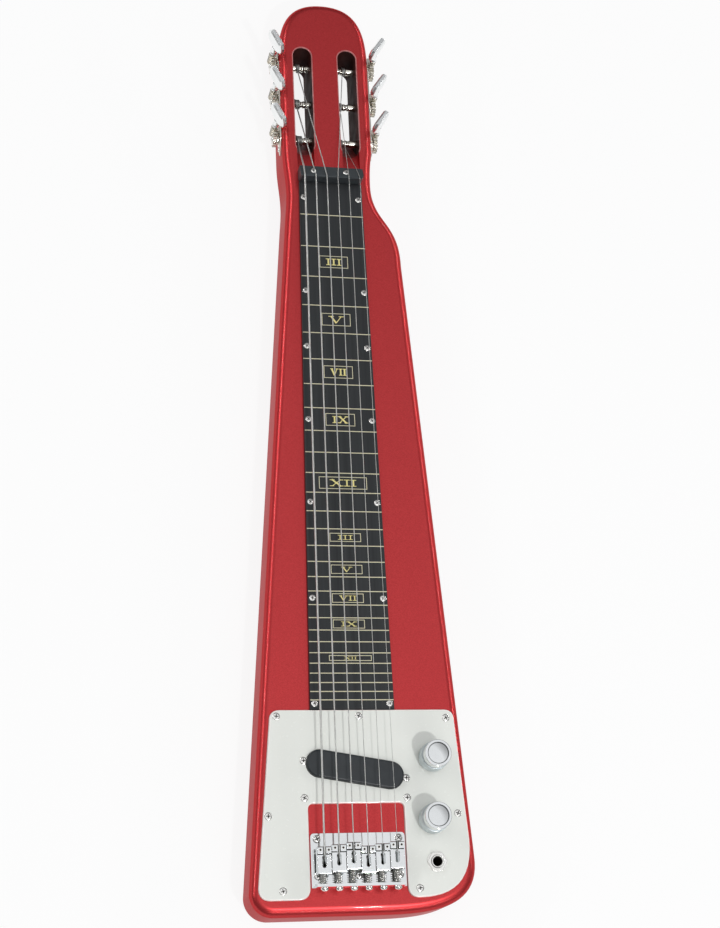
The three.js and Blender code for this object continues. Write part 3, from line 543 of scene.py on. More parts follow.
def slot_tool(side):
    centre = (side * slot_centre, (slot_low + slot_high) / 2, 0)
    outline = stadium((slot_high - slot_low - slot_width) / 2, slot_width / 2)
    rim_low = body_thickness - slot_rim
    levels = [(0, -overrun), (0, rim_low)]
    levels += [(-shift, rim_low + rise) for shift, rise in rounding(slot_rim, 4)[::-1][1:]]
    levels.append((-slot_rim, body_thickness + overrun))
    return placed(stepped_mesh("slot", outline, levels), centre, math.pi / 2)


def relief_tool(side):
    low, high = slot_low - relief_length, slot_low + slot_width / 2
    top = body_thickness + overrun
    profile = [(low, body_thickness), (high, body_thickness - relief_depth), (high, top), (low, top)]
    return profile_mesh("relief", profile, relief_width / 2, side * slot_centre)


def ramp_mesh(side):
    low, high = slot_low - overrun, slot_low + ramp_reach
    profile = [(low, ramp_foot), (high, ramp_foot), (slot_low, ramp_rise), (low, ramp_rise)]
    return profile_mesh("ramp", profile, slot_width / 2 + ramp_bite, side * slot_centre)


def roller_hole_tool(side, y):
    hole = rod_mesh(roller_hole_radius, roller_inner, head_half_width + overrun, 24)
    return placed(hole, (0, y, roller_z), side * math.pi / 2, "Y")


def hollow_tool(xs, ys, floor):
    return box_mesh("hollow", (xs[0], ys[0], floor), (xs[1], ys[1], body_thickness + overrun))


red_lacquer = new_material(
    "red_lacquer", Metallic=0.85, Coat_Weight=0.16, Coat_Roughness=0.03, Coat_IOR=1.5,
    Specular_IOR_Level=0.2, Specular_Tint=(0.6, 0.12, 0.14, 1),
)
vary_color(red_lacquer, flakes(red_lacquer, flake_size), (0.47, 0.038, 0.041), (0.61, 0.054, 0.058), 0, 1)
vary_roughness(red_lacquer, noise(red_lacquer, 12), 0.32, 0.38)
emboss(red_lacquer, noise(red_lacquer, 45), 0.03 * mm, 0.2)

# The walls of the slots, holes and hollows are coloured a dark red-brown, streaked up and down.
dark_wall = new_material("dark_wall", Specular_IOR_Level=0.05)
vary_color(dark_wall, noise(dark_wall, 60, (1, 1, 0.2)), (0.03, 0.01, 0.009), (0.075, 0.022, 0.018))
vary_roughness(dark_wall, noise(dark_wall, 80), 0.5, 0.7)

# The slot rims are coloured pale pink as a painted highlight along their rounded edge.
rim_painted_highlight = new_material("rim_painted_highlight", Metallic=0.3, Coat_Weight=0.4, Coat_Roughness=0.05)
vary_color(rim_painted_highlight, noise(rim_painted_highlight, 200), (0.68, 0.3, 0.3), (0.8, 0.42, 0.41))
vary_roughness(rim_painted_highlight, noise(rim_painted_highlight, 60), 0.25, 0.35)

# The ramps at the slots' ends are a darker, mottled red than the lacquer, with a fine rough relief.
ramp_dark_red = new_material("ramp_dark_red", Specular_IOR_Level=0.05)
vary_color(ramp_dark_red, noise(ramp_dark_red, 130, (1, 0.3, 1)), (0.11, 0.014, 0.014), (0.3, 0.03, 0.03))
vary_roughness(ramp_dark_red, noise(ramp_dark_red, 90), 0.4, 0.6)
emboss(ramp_dark_red, noise(ramp_dark_red, 260), 0.15 * mm, 0.5)

slab = plate_mesh("slab", body_outline(), 0, body_thickness, top_round, back_round, 8)
slab.materials.append(red_lacquer)
slab = cut_mesh(slab, [slot_tool(-1), slot_tool(1)], dark_wall)
# The faces of the slots' rounded rims take a third material, the painted highlight.
slab.materials.append(rim_painted_highlight)
for face in slab.polygons:
    if face.material_index == 1 and face.center.z > body_thickness - slot_rim:
        face.material_index = 2
ramps = [ramp_mesh(-1), ramp_mesh(1)]
for ramp in ramps:
    ramp.materials.append(ramp_dark_red)
slab = joined(slab, *ramps)
slab = cut_mesh(slab, [relief_tool(-1), relief_tool(1)], red_lacquer)
holes = [roller_hole_tool(side, y) for side in (-1, 1) for y in roller_ys]
through = body_thickness + overrun
for radius, top, sides in ((string_hole_radius, through, 16), (ferrule_seat_radius, ferrule_depth, 24)):
    holes += [rod_mesh(radius, -overrun, top, sides, (x, string_hole_y, 0)) for x in bridge_xs]
slab = cut_mesh(slab, holes, dark_wall)
hollows = [
    hollow_tool(pickup_hollow_xs, pickup_hollow_ys, pickup_hollow_floor),
    hollow_tool(control_hollow_xs, control_hollow_ys, control_hollow_floor),
]
slab = cut_mesh(slab, hollows, dark_wall)
fit("body_shell", slab, red_lacquer, "root", ["body"], 30)

# Fingerboard
# A flat plate of dark laminate, tapered with the spread of the strings and lying on the body. The
# playing lines, the boxes and the numerals in them are printed on it in pale yellow.
board_thickness = 3 * mm
board_top = body_thickness + board_thickness
board_nut_half_width = 25.55 * mm
board_bridge_half_width = 32.84 * mm
board_beyond_frets = 6.8 * mm
board_edge = 0.35 * mm
fret_count = 28
seat_gap = 0.3 * mm
line_width = 0.66 * mm
box_line_width = 0.46 * mm
print_thickness = 0.06 * mm
print_layer_share = 0.25
numeral_width_share = 0.29
numeral_height_share = 0.29
numeral_stretch_limit = 2.6
# Each mark: its numeral, the two frets that it lies between, its half width and half height.
marks = [
    ("III", 2.5, 11.3 * mm, 4.95 * mm),
    ("V", 4.5, 11.3 * mm, 5.05 * mm),
    ("VII", 6.5, 11.3 * mm, 4.95 * mm),
    ("IX", 8.5, 11.3 * mm, 4.85 * mm),
    ("XII", 11.5, 18.4 * mm, 4.65 * mm),
    ("III", 14.5, 11.8 * mm, 3.15 * mm),
    ("V", 16.5, 11.8 * mm, 3.3 * mm),
    ("VII", 18.5, 11.8 * mm, 3.3 * mm),
    ("IX", 20.5, 11.8 * mm, 3.1 * mm),
    ("XII", 23.5, 15.8 * mm, 1.85 * mm),
]
# Each letter: its width, and its strokes as ends and a width, all as shares of the letter's height.
letter_width_shares = {"I": 0.42, "V": 0.92, "X": 0.92}
stroke_shares = {
    "I": [
        ((0.21, 0), (0.21, 1), 0.22),
        ((0.03, 0.05), (0.39, 0.05), 0.1), ((0.03, 0.95), (0.39, 0.95), 0.1),
    ],
    "V": [
        ((0.17, 1), (0.46, 0), 0.22), ((0.76, 1), (0.46, 0), 0.11),
        ((0.03, 0.95), (0.34, 0.95), 0.1), ((0.61, 0.95), (0.9, 0.95), 0.1),
    ],
    "X": [
        ((0.17, 1), (0.75, 0), 0.22), ((0.75, 1), (0.17, 0), 0.11),
        ((0.03, 0.95), (0.34, 0.95), 0.1), ((0.61, 0.95), (0.9, 0.95), 0.1),
        ((0.03, 0.05), (0.31, 0.05), 0.1), ((0.58, 0.05), (0.9, 0.05), 0.1),
    ],
}


def fret_distance(fret):
    return scale_length * (1 - 2 ** (-fret / 12))


def board_half_width(distance):
    return along_line(distance, 0, board_nut_half_width, scale_length, board_bridge_half_width)


def stroke(start, end, width, level=0):
    way = (Vector(end) - Vector(start)).normalized()
    across = Vector((way.y, -way.x)) * width / 2
    low = board_top
    high = board_top + print_thickness * (1 + level * print_layer_share)
    corners = [Vector(start) - across, Vector(start) + across, Vector(end) + across, Vector(end) - across]
    return plate_mesh("stroke", corners, low, high)


def frame_strokes(centre, half_width, half_height):
    left, right = centre.x - half_width, centre.x + half_width
    low, high = centre.y - half_height, centre.y + half_height
    reach = box_line_width / 2
    return [
        stroke((left - reach, low), (right + reach, low), box_line_width),
        stroke((left - reach, high), (right + reach, high), box_line_width),
        stroke((left, low + reach), (left, high - reach), box_line_width),
        stroke((right, low + reach), (right, high - reach), box_line_width),
    ]


def numeral_strokes(word, centre, half_width, half_height):
    tall = 2 * half_height * 2 * numeral_height_share
    wide = sum(letter_width_shares[letter] for letter in word)
    stretch = min(2 * half_width * 2 * numeral_width_share / (wide * tall), numeral_stretch_limit)
    left = centre.x - wide * tall * stretch / 2
    made = []
    for letter in word:
        for level, (start, end, width) in enumerate(stroke_shares[letter]):
            ends = [
                (left + x * tall * stretch, centre.y - tall / 2 + y * tall)
                for x, y in (start, end)
            ]
            made.append(stroke(*ends, width * tall, level))
        left += letter_width_shares[letter] * tall * stretch
    return made


board_black = new_material("board_black", Specular_IOR_Level=0.4)
streaks = noise(board_black, 260, (1, 0.012, 1), 4)
vary_color(board_black, streaks, (0.013, 0.015, 0.017), (0.026, 0.029, 0.031))
vary_roughness(board_black, noise(board_black, 220, (1, 0.02, 1)), 0.36, 0.5)
emboss(board_black, noise(board_black, 320, (1, 0.02, 1)), 0.04 * mm, 0.4)

print_yellow = new_material("print_yellow")
vary_color(print_yellow, noise(print_yellow, 900), (0.66, 0.61, 0.4), (0.8, 0.75, 0.54))
vary_roughness(print_yellow, noise(print_yellow, 600), 0.4, 0.6)

print_gold = new_material("print_gold")
vary_color(print_gold, noise(print_gold, 900), (0.74, 0.64, 0.22), (0.9, 0.82, 0.38))
vary_roughness(print_gold, noise(print_gold, 600), 0.35, 0.5)

board_length = fret_distance(fret_count) + board_beyond_frets
board_end = board_half_width(board_length)
board_corners = [(-board_nut_half_width, -seat_gap), (-board_end, -board_length)]
board_corners += [(-x, y) for x, y in reversed(board_corners)]
board_outline = [Vector(corner) for corner in board_corners]
board = plate_mesh("board", board_outline, body_thickness, board_top, board_edge, 0, 3)
fit("board_plate", board, board_black, "root", ["fingerboard"])

lines = []
for fret in range(1, fret_count + 1):
    distance = fret_distance(fret)
    reach = board_half_width(distance) - board_edge
    lines.append(stroke((-reach, -distance), (reach, -distance), line_width))
fit("playing_lines", merged("lines", lines), print_yellow, "root")

boxes = []
numerals = []
for word, fret, half_width, half_height in marks:
    before, after = fret_distance(fret - 0.5), fret_distance(fret + 0.5)
    centre = Vector((0, -(before + after) / 2))
    boxes += frame_strokes(centre, half_width, half_height)
    numerals += numeral_strokes(word, centre, half_width, half_height)
fit("position_boxes", merged("boxes", boxes), print_yellow, "root")
fit("position_numerals", merged("numerals", numerals), print_gold, "root")

# Board screws
# Fourteen nickel-plated wood screws with domed heads and cross recesses, seven along each edge of the
# fingerboard. They hold it down flat on the body.
board_screw_inset = 3.4 * mm
board_screw_shares = [0.0272, 0.1827, 0.2726, 0.388, 0.5143, 0.6564, 0.8066]
board_screw_head = 2.45 * mm
board_screw_rise = 0.5 * mm
screw_shank = 0.8 * mm
screw_neck_share = 0.55
dome_rim_share = 0.25
dome_power = 0.7
cross_width_share = 0.12
cross_arm_share = 0.56
cross_floor_share = 0.15

# Black, a painted shade, lines the screws' recesses and sockets, the saddles' groove and boss step, and
# the jack's bore.
recess_painted_shade = new_material("recess_painted_shade", Specular_IOR_Level=0.2)
vary_color(recess_painted_shade, noise(recess_painted_shade, 700), (0.014, 0.012, 0.01), (0.05, 0.044, 0.036))

bright_nickel = new_material("bright_nickel", Metallic=1.0)
vary_color(bright_nickel, noise(bright_nickel, 120), (0.78, 0.77, 0.73), (0.88, 0.87, 0.84))
vary_roughness(bright_nickel, noise(bright_nickel, 300), 0.12, 0.22)
emboss(bright_nickel, noise(bright_nickel, 300), 0.004 * mm, 0.2)


def screw_mesh(radius, rise, shank=screw_shank):
    neck = radius * screw_neck_share
    profile = [(0, -shank), (neck, -shank), (neck, 0), (radius, 0)]
    for step in range(6):
        angle = math.pi / 2 * step / 6
        climb = dome_rim_share + (1 - dome_rim_share) * math.sin(angle)
        profile.append((radius * math.cos(angle) ** dome_power, rise * climb))
    head = lathe_mesh("head", profile + [(0, rise)], 24)
    head.materials.append(bright_nickel)
    half, arm = radius * cross_width_share, radius * cross_arm_share
    deep, high = rise * cross_floor_share, rise + shank
    # The cross recess is lined in black as painted shade.
    cross = [
        box_mesh("arm", (-arm, -half, deep), (arm, half, high)),
        box_mesh("arm", (-half, -arm, deep), (half, arm, high)),
    ]
    return cut_mesh(head, cross, recess_painted_shade)


# The second material is the black painted shade of the recesses.
def screw_finish(mesh):
    for material in (bright_nickel, recess_painted_shade):
        mesh.materials.append(material)
    return mesh


def screws(name, places, radius, rise):
    pattern = screw_mesh(radius, rise)
    chance = random.Random(len(places))
    made = [placed(pattern.copy(), place, chance.uniform(0, math.pi)) for place in places]
    fit(name, screw_finish(merged(name, made)), bright_nickel, "root")


board_screw_places = []
for share in board_screw_shares:
    distance = share * scale_length
    x = board_half_width(distance) - board_screw_inset
    board_screw_places += [(side * x, -distance, board_top) for side in (-1, 1)]
screws("board_screws", board_screw_places, board_screw_head, board_screw_rise)

# Pickguard
# A pale glossy sheet that closes the routed hollows, cut to follow both flanks of the body. It has
# openings for the pickup, the bridge, the two controls and the jack, and its top edge is bevelled.
guard_thickness = 2.5 * mm
guard_top = body_thickness + guard_thickness
guard_left_margin = 6.3 * mm
guard_right_margin = 4.3 * mm
guard_top_corner = 8 * mm
guard_tail_corner = 9 * mm
guard_lobe = 44 * mm
guard_right_rise = 40 * mm
guard_bevel = 1.1 * mm
painted_bevel_highlight_tilts = (0.1, 0.98)
guard_tail_margin = 11 * mm
guard_head = -(board_length + seat_gap)
guard_tail = tail_y + guard_tail_margin
bridge_half_width = 34.4 * mm
cutout_gap = 0.8 * mm
cutout_reach = 30 * mm
cutout_corner = 4 * mm
cutout_half_width = bridge_half_width + cutout_gap
cutout_head = -(scale_length - cutout_reach)
pickup_before_bridge = 54.3 * mm
pickup_y = -(scale_length - pickup_before_bridge)
pickup_slant = math.radians(-9.9)
pickup_half_span = 26.2 * mm
pickup_end_radius = 10 * mm
volume_place = Vector((57.35, -468.2, 0)) * mm
tone_place = Vector((54.95, -512.9, 0)) * mm
jack_place = Vector((57.2, -542.6, 0)) * mm
bushing_hole = 4.5 * mm
jack_hole = 5.05 * mm


def guard_left(y):
    return left_flank(y) + guard_left_margin


def guard_right(y):
    return right_flank(y) - guard_right_margin


def guard_outline():
    flank_end = guard_tail + guard_right_rise
    left, right = guard_left(guard_head), guard_right(guard_head)
    left_low = guard_left(guard_tail)
    return trace(
        (left + guard_top_corner, guard_head),
        [(left, guard_head), (left, guard_head - guard_top_corner)],
        [(left_low, guard_tail + guard_tail_corner)],
        [(left_low, guard_tail), (left_low + guard_tail_corner, guard_tail)],
        [(-cutout_half_width - guard_tail_corner, guard_tail)],
        [(-cutout_half_width, guard_tail), (-cutout_half_width, guard_tail + guard_tail_corner)],
        [(-cutout_half_width, cutout_head - cutout_corner)],
        [(-cutout_half_width, cutout_head), (-cutout_half_width + cutout_corner, cutout_head)],
        [(cutout_half_width - cutout_corner, cutout_head)],
        [(cutout_half_width, cutout_head), (cutout_half_width, cutout_head - cutout_corner)],
        [(cutout_half_width, guard_tail + guard_tail_corner)],
        [(cutout_half_width, guard_tail), (guard_lobe, guard_tail)],
        [
            (guard_lobe + guard_right_rise * 0.6, guard_tail),
            (guard_right(flank_end) + guard_right_rise * 0.02, guard_tail + guard_right_rise * 0.25),
            (guard_right(flank_end), flank_end),
        ],
        [(right, guard_head - guard_top_corner)],
        [(right, guard_head), (right - guard_top_corner, guard_head)],
        steps=12,
    )


def slanted(mesh):
    return placed(mesh, (0, pickup_y, 0), pickup_slant)


pale_guard = new_material("pale_guard", Specular_IOR_Level=0.45, Coat_Weight=0.5, Coat_Roughness=0.08)
vary_color(pale_guard, noise(pale_guard, 30), (0.79, 0.805, 0.755), (0.84, 0.855, 0.805), 0, 1)
vary_roughness(pale_guard, noise(pale_guard, 400), 0.22, 0.28)
emboss(pale_guard, noise(pale_guard, 60), 0.01 * mm, 0.15)

# The bevel round the sheet's top edge is coloured paler as a painted highlight.
painted_bevel_highlight = new_material("painted_bevel_highlight", Specular_IOR_Level=0.45, Coat_Weight=0.5, Coat_Roughness=0.08)
vary_color(painted_bevel_highlight, noise(painted_bevel_highlight, 200), (0.88, 0.84, 0.8), (0.95, 0.92, 0.88))
vary_roughness(painted_bevel_highlight, noise(painted_bevel_highlight, 300), 0.3, 0.4)

through = (body_thickness - overrun, guard_top + overrun)
guard = plate_mesh("guard", guard_outline(), body_thickness, guard_top, guard_bevel, 0, 2)
guard = cut_mesh(guard, [
    slanted(plate_mesh("opening", stadium(pickup_half_span, pickup_end_radius + seat_gap, 24), *through)),
    placed(rod_mesh(bushing_hole, *through), volume_place),
    placed(rod_mesh(bushing_hole, *through), tone_place),
    placed(rod_mesh(jack_hole, *through), jack_place),
])
guard.materials.clear()
for material in (pale_guard, painted_bevel_highlight):
    guard.materials.append(material)
# Faces tilted between flat and upright are the bevel, which takes the painted highlight.
for face in guard.polygons:
    if painted_bevel_highlight_tilts[0] < face.normal.z < painted_bevel_highlight_tilts[1]:
        face.material_index = 1
fit("guard_sheet", guard, pale_guard, "root", ["pickguard"], 30)

# Pickguard screws
# Nine small domed screws round the edge and at the inner corners, which hold the sheet to the body.
edge = 6.4 * mm
guard_screw_head = 2.8 * mm
guard_screw_rise = 0.6 * mm
guard_middle_share = 0.565
guard_middle = guard_head - (guard_head - guard_tail) * guard_middle_share
guard_screw_places = [
    (guard_left(guard_head) + edge * 0.8, guard_head - edge * 0.75, guard_top),
    (edge * 0.7, guard_head - edge * 0.75, guard_top),
    (guard_right(guard_head) - edge, guard_head - edge, guard_top),
    (-cutout_half_width - edge * 0.4, cutout_head + edge * 0.65, guard_top),
    (cutout_half_width + edge * 0.4, cutout_head + edge * 0.55, guard_top),
    (guard_left(guard_middle) + edge * 0.55, guard_middle, guard_top),
    (guard_right(guard_middle) - edge, guard_middle, guard_top),
    (-cutout_half_width - edge * 3.1, guard_tail + edge, guard_top),
    (cutout_half_width + edge * 1.35, guard_tail + edge, guard_top),
]
screws("guard_screws", guard_screw_places, guard_screw_head, guard_screw_rise)

# Pickup
# A coil under a black moulded cover, set at a slant across the strings. The cover stands through the
# pickguard, and two screws at its ends pull the base up on springs.
pickup_above_guard = 3 * mm
pickup_depth = 15 * mm
pickup_wall = 1 * mm
pickup_round = 1.6 * mm
pickup_steps = 28
pickup_screw_span = 38.2 * mm
pickup_screw_head = 2.8 * mm
pickup_screw_rise = 1 * mm
cover_top = guard_top + pickup_above_guard
cover_bottom = cover_top - pickup_depth

satin_black = new_material("satin_black", Specular_IOR_Level=0.45)
vary_color(satin_black, noise(satin_black, 70), (0.018, 0.022, 0.025), (0.027, 0.032, 0.036))
vary_roughness(satin_black, noise(satin_black, 150), 0.3, 0.42)
emboss(satin_black, noise(satin_black, 900), 0.02 * mm, 0.35)

coil_black = new_material("coil_black", Specular_IOR_Level=0.3)
vary_color(coil_black, noise(coil_black, 900, (0.1, 0.1, 1)), (0.01, 0.01, 0.01), (0.03, 0.026, 0.024))
vary_roughness(coil_black, noise(coil_black, 500), 0.5, 0.7)


def dress(node, material):
    piece = bpy.data.objects[node]
    if not piece.material_slots:
        piece.data.materials.append(material)
    for place in piece.material_slots:
        place.material = material


shell = stadium(pickup_half_span, pickup_end_radius, pickup_steps)
room = stadium(pickup_half_span, pickup_end_radius - pickup_wall, pickup_steps)
cover = plate_mesh("cover", shell, cover_bottom, cover_top, pickup_round)
cover = cut_mesh(cover, [plate_mesh("room", room, cover_bottom - overrun, cover_top - pickup_wall)])
fit("pickup_shell", slanted(cover), satin_black, "root", ["pickup_cover"])
dress("pickup_bobbin", coil_black)
slant = Matrix.Rotation(pickup_slant, 3, "Z")
pickup_screw_places = [
    slant @ Vector((side * pickup_screw_span, 0, 0)) + Vector((0, pickup_y, guard_top)) for side in (-1, 1)
]
screws("pickup_screws", pickup_screw_places, pickup_screw_head, pickup_screw_rise)

# Bridge plate
# A chromed steel sheet, bent up at its rear edge and screwed to the body inside the pickguard's
# cut-out. Six holes in the sheet pass the strings, and six in the upstand hold the saddles' screws.
plate_thickness = 2 * mm
plate_top = body_thickness + plate_thickness
bridge_before = 9 * mm
bridge_behind = 29.2 * mm
bridge_front = -(scale_length - bridge_before)
bridge_rear = -(scale_length + bridge_behind)
bridge_corner = 2.5 * mm
bridge_edge = 0.15 * mm
bend_inside = 0.8 * mm
wall_height = 9 * mm
wall_end = bridge_half_width - bridge_corner
wall_cut_depth = 4 * mm
wall_cut_top = 60 * mm
bridge_screw_x = 29.8 * mm
bridge_screw_head = 2.9 * mm
bridge_screw_rise = 1.3 * mm
front_inset = 4 * mm
rear_inset = 8.4 * mm
saddle_lift = 3.4 * mm
saddle_thickness = 6 * mm
intonation_z = plate_top + saddle_lift + saddle_thickness / 2
intonation_radius = 1.2 * mm

polished_chrome = new_material("polished_chrome", Metallic=1.0)
vary_color(polished_chrome, noise(polished_chrome, 60), (0.72, 0.735, 0.735), (0.8, 0.815, 0.815))
vary_roughness(polished_chrome, noise(polished_chrome, 140), 0.05, 0.1)
emboss(polished_chrome, noise(polished_chrome, 90), 0.003 * mm, 0.15)


def arc(centre, radius, start, end, steps=6):
    angles = [math.radians(start + (end - start) * step / steps) for step in range(steps + 1)]
    across, along = centre
    return [(across + radius * math.cos(angle), along + radius * math.sin(angle)) for angle in angles]


def lying(mesh, place):
    return placed(mesh, place, -math.pi / 2, "X")


def bent_sheet(front):
    outside = bend_inside + plate_thickness
    wall_face = bridge_rear + plate_thickness
    profile = [(front, body_thickness), (front, plate_top)]
    profile += arc((wall_face + bend_inside, plate_top + bend_inside), bend_inside, -90, -180)
    profile += [(wall_face, plate_top + wall_height), (bridge_rear, plate_top + wall_height)]
    return profile + arc((bridge_rear + outside, body_thickness + outside), outside, 180, 270)


rings = []
for side in (-1, 1):
    corners = rounding(bridge_corner)[:: -side]
    for across, along in corners:
        x = side * (bridge_half_width - along)
        rings.append([(x, y, z) for y, z in bent_sheet(bridge_front - across)])
sheet = skin_mesh("sheet", rings)
tools = []
for low_x, high_x in ((wall_end, wall_end + overrun), (-wall_end - overrun, -wall_end)):
    low = (low_x, bridge_rear - overrun, plate_top)
    tools.append(box_mesh("corner", low, (high_x, bridge_rear + wall_cut_depth, wall_cut_top)))
through = (body_thickness - overrun, plate_top + overrun)
for x in bridge_xs:
    tools.append(rod_mesh(string_hole_radius, *through, place=(x, string_hole_y, 0)))
    screw_hole = rod_mesh(intonation_radius + seat_gap, -overrun, overrun)
    tools.append(lying(screw_hole, (x, bridge_rear, intonation_z)))
sheet = cut_mesh(sheet, tools)
fit("bridge_sheet", sheet, polished_chrome, "root", ["bridge_plate"], 30, bridge_edge)
bridge_screw_places = [
    (-bridge_screw_x, bridge_front - front_inset, plate_top),
    (bridge_screw_x, bridge_front - front_inset, plate_top),
    (-bridge_screw_x, bridge_rear + rear_inset, plate_top),
    (0, bridge_rear + rear_inset, plate_top),
    (bridge_screw_x, bridge_rear + rear_inset, plate_top),
]
screws("bridge_screws", bridge_screw_places, bridge_screw_head, bridge_screw_rise)

# Saddles
# Six chromed blocks, one under each string. Each stands on two grub screws in its front bosses, and its
# long slot lets the string rise from the body to the front edge.
saddle_behind = 0.1 * mm
saddle_stagger = 1.35 * mm
saddle_width = 10.1 * mm
saddle_length = 19.4 * mm
saddle_boss_height = 1.4 * mm
saddle_boss_length = 5.1 * mm
saddle_boss_foot = 0.5 * mm
saddle_groove_width = 2 * mm
saddle_slot_width = 3.1 * mm
saddle_slot_length = 8.6 * mm
saddle_slot_behind = 1.1 * mm
saddle_round = 1 * mm
saddle_overrun = 1 * mm
saddle_edge = 0.25 * mm
saddle_bottom = plate_top + saddle_lift
saddle_top = saddle_bottom + saddle_thickness
grub_radius = 1.3 * mm
grub_inset_share = 1.6
grub_rise = 0.3 * mm
socket_flats = 1.5 * mm
socket_floor = 0.05 * mm
string_rise = 9.6 * mm
string_z = board_top + string_rise
thickest_string = 1.42 * mm
thinnest_string = 0.38 * mm


def string_radius(index):
    return thickest_string / 2 * (thinnest_string / thickest_string) ** (index / 5)


def saddle_front(index):
    return -(scale_length + saddle_behind) + (index % 3 - 1) * saddle_stagger


def saddle_mesh(index):
    front = saddle_front(index)
    rear = front - saddle_length
    boss = front - saddle_boss_length
    crown = saddle_top + saddle_boss_height
    half = saddle_width / 2
    profile = [(rear, saddle_bottom), (front, saddle_bottom)]
    profile += arc((front - saddle_round, crown - saddle_round), saddle_round, 0, 90, 4)
    profile += [(boss, crown), (boss, saddle_top)]
    profile += arc((rear + saddle_round, saddle_top - saddle_round), saddle_round, 90, 180, 4)
    block = profile_mesh("block", profile, half)
    groove = saddle_groove_width / 2
    notch = string_z - string_radius(index) - seat_gap
    slot = stadium((saddle_slot_length - saddle_slot_width) / 2, saddle_slot_width / 2)
    slot = plate_mesh("slot", slot, saddle_bottom - overrun, saddle_top + overrun)
    slot = placed(slot, (0, boss - saddle_slot_behind - saddle_slot_length / 2, 0), math.pi / 2)
    block.materials.append(polished_chrome)
    foot = saddle_top - saddle_boss_foot
    side = half + saddle_overrun
    ahead, above = front + overrun, crown + overrun
    # The groove between the bosses and a notch at the boss step are lined in black as painted shade.
    shaded = [
        box_mesh("groove", (-groove, boss - saddle_overrun, notch), (groove, ahead, above)),
        box_mesh("foot", (-side, boss - saddle_boss_foot, foot), (side, boss, crown)),
    ]
    return cut_mesh(cut_mesh(block, [slot]), shaded, recess_painted_shade)


def grub_mesh(index, side):
    x = side * (saddle_width / 2 - grub_radius * grub_inset_share)
    y = saddle_front(index) - saddle_boss_length / 2
    top = saddle_top + saddle_boss_height
    grub = rod_mesh(grub_radius, plate_top, top + grub_rise, 20)
    grub.materials.append(bright_nickel)
    # The hex socket is lined in black as painted shade.
    socket = rod_mesh(socket_flats / math.sqrt(3), top + socket_floor, top + overrun, 6)
    return placed(cut_mesh(grub, [socket], recess_painted_shade), (x, y, 0))


for index, x in enumerate(bridge_xs):
    number = 6 - index
    fit(
        f"saddle_block_{number}", placed(saddle_mesh(index), (x, 0, 0)), polished_chrome,
        "root", [f"saddle_{number}"], 30, saddle_edge,
    )
    grubs = placed(merged("grubs", [grub_mesh(index, -1), grub_mesh(index, 1)]), (x, 0, 0))
    fit(f"grub_screws_{number}", screw_finish(grubs), bright_nickel, "root")

# Intonation screws
# A long screw passes through the upstand into the back of each saddle. A spring round it pushes the
# saddle forward, and its head sits on the rear face of the upstand.
intonation_bite = 2 * mm
intonation_head = 2.95 * mm
intonation_head_length = 2.9 * mm
intonation_head_shank = 0.2 * mm
thread_pitch = 0.5 * mm
thread_root_share = 0.86
spring_radius = 2.2 * mm
spring_wire = 0.36 * mm
spring_pitch = 1.5 * mm


def wire_mesh(name, path, radius, sides=10):
    ways = [(after - before).normalized() for before, after in zip(path, path[1:])]
    first = Vector((1, 0, 0)) if abs(ways[0].x) < 0.9 else Vector((0, 0, 1))
    across = (first - ways[0] * first.dot(ways[0])).normalized()
    up = ways[0].cross(across)
    ring = []
    for side in range(sides):
        angle = 2 * math.pi * side / sides
        ring.append(path[0] + across * radius * math.cos(angle) + up * radius * math.sin(angle))
    rings = [ring]
    for place, way in enumerate(ways):
        onward = ways[place + 1] if place + 1 < len(ways) else way
        mitre = (way + onward).normalized()
        ring = [point + way * (path[place + 1] - point).dot(mitre) / way.dot(mitre) for point in ring]
        rings.append(ring)
    return skin_mesh(name, rings)


def helix(radius, start, end, pitch, steps=16):
    count = math.ceil(abs(end - start) / pitch * steps)
    points = []
    for step in range(count + 1):
        angle = 2 * math.pi * step / steps
        height = start + (end - start) * step / count
        points.append(Vector((radius * math.cos(angle), radius * math.sin(angle), height)))
    return points


def intonation_screw_mesh(index):
    reach = saddle_front(index) - saddle_length + intonation_bite - bridge_rear
    profile = [(0, -seat_gap), (intonation_radius, -seat_gap)]
    height = 0
    while height < reach - thread_pitch:
        profile.append((intonation_radius, height))
        profile.append((intonation_radius * thread_root_share, height + thread_pitch / 2))
        height += thread_pitch
    shaft = lathe_mesh("shaft", profile + [(intonation_radius, reach), (0, reach)], 14)
    shaft.materials.append(bright_nickel)
    head = screw_mesh(intonation_head, intonation_head_length, intonation_head_shank)
    head = placed(head, (0, 0, -seat_gap), math.pi, "X")
    return screw_finish(merged("screw", [shaft, head]))


for index, x in enumerate(bridge_xs):
    number = 6 - index
    seat = (x, bridge_rear, intonation_z)
    fit(
        f"intonation_{number}", lying(intonation_screw_mesh(index), seat), bright_nickel,
        "root", [f"intonation_screw_{number}"],
    )
    start = plate_thickness + seat_gap
    end = saddle_front(index) - saddle_length - bridge_rear - seat_gap
    spring = wire_mesh("spring", helix(spring_radius, start, end, spring_pitch), spring_wire, 8)
    fit(f"saddle_spring_{number}", lying(spring, seat), bright_nickel, "root")

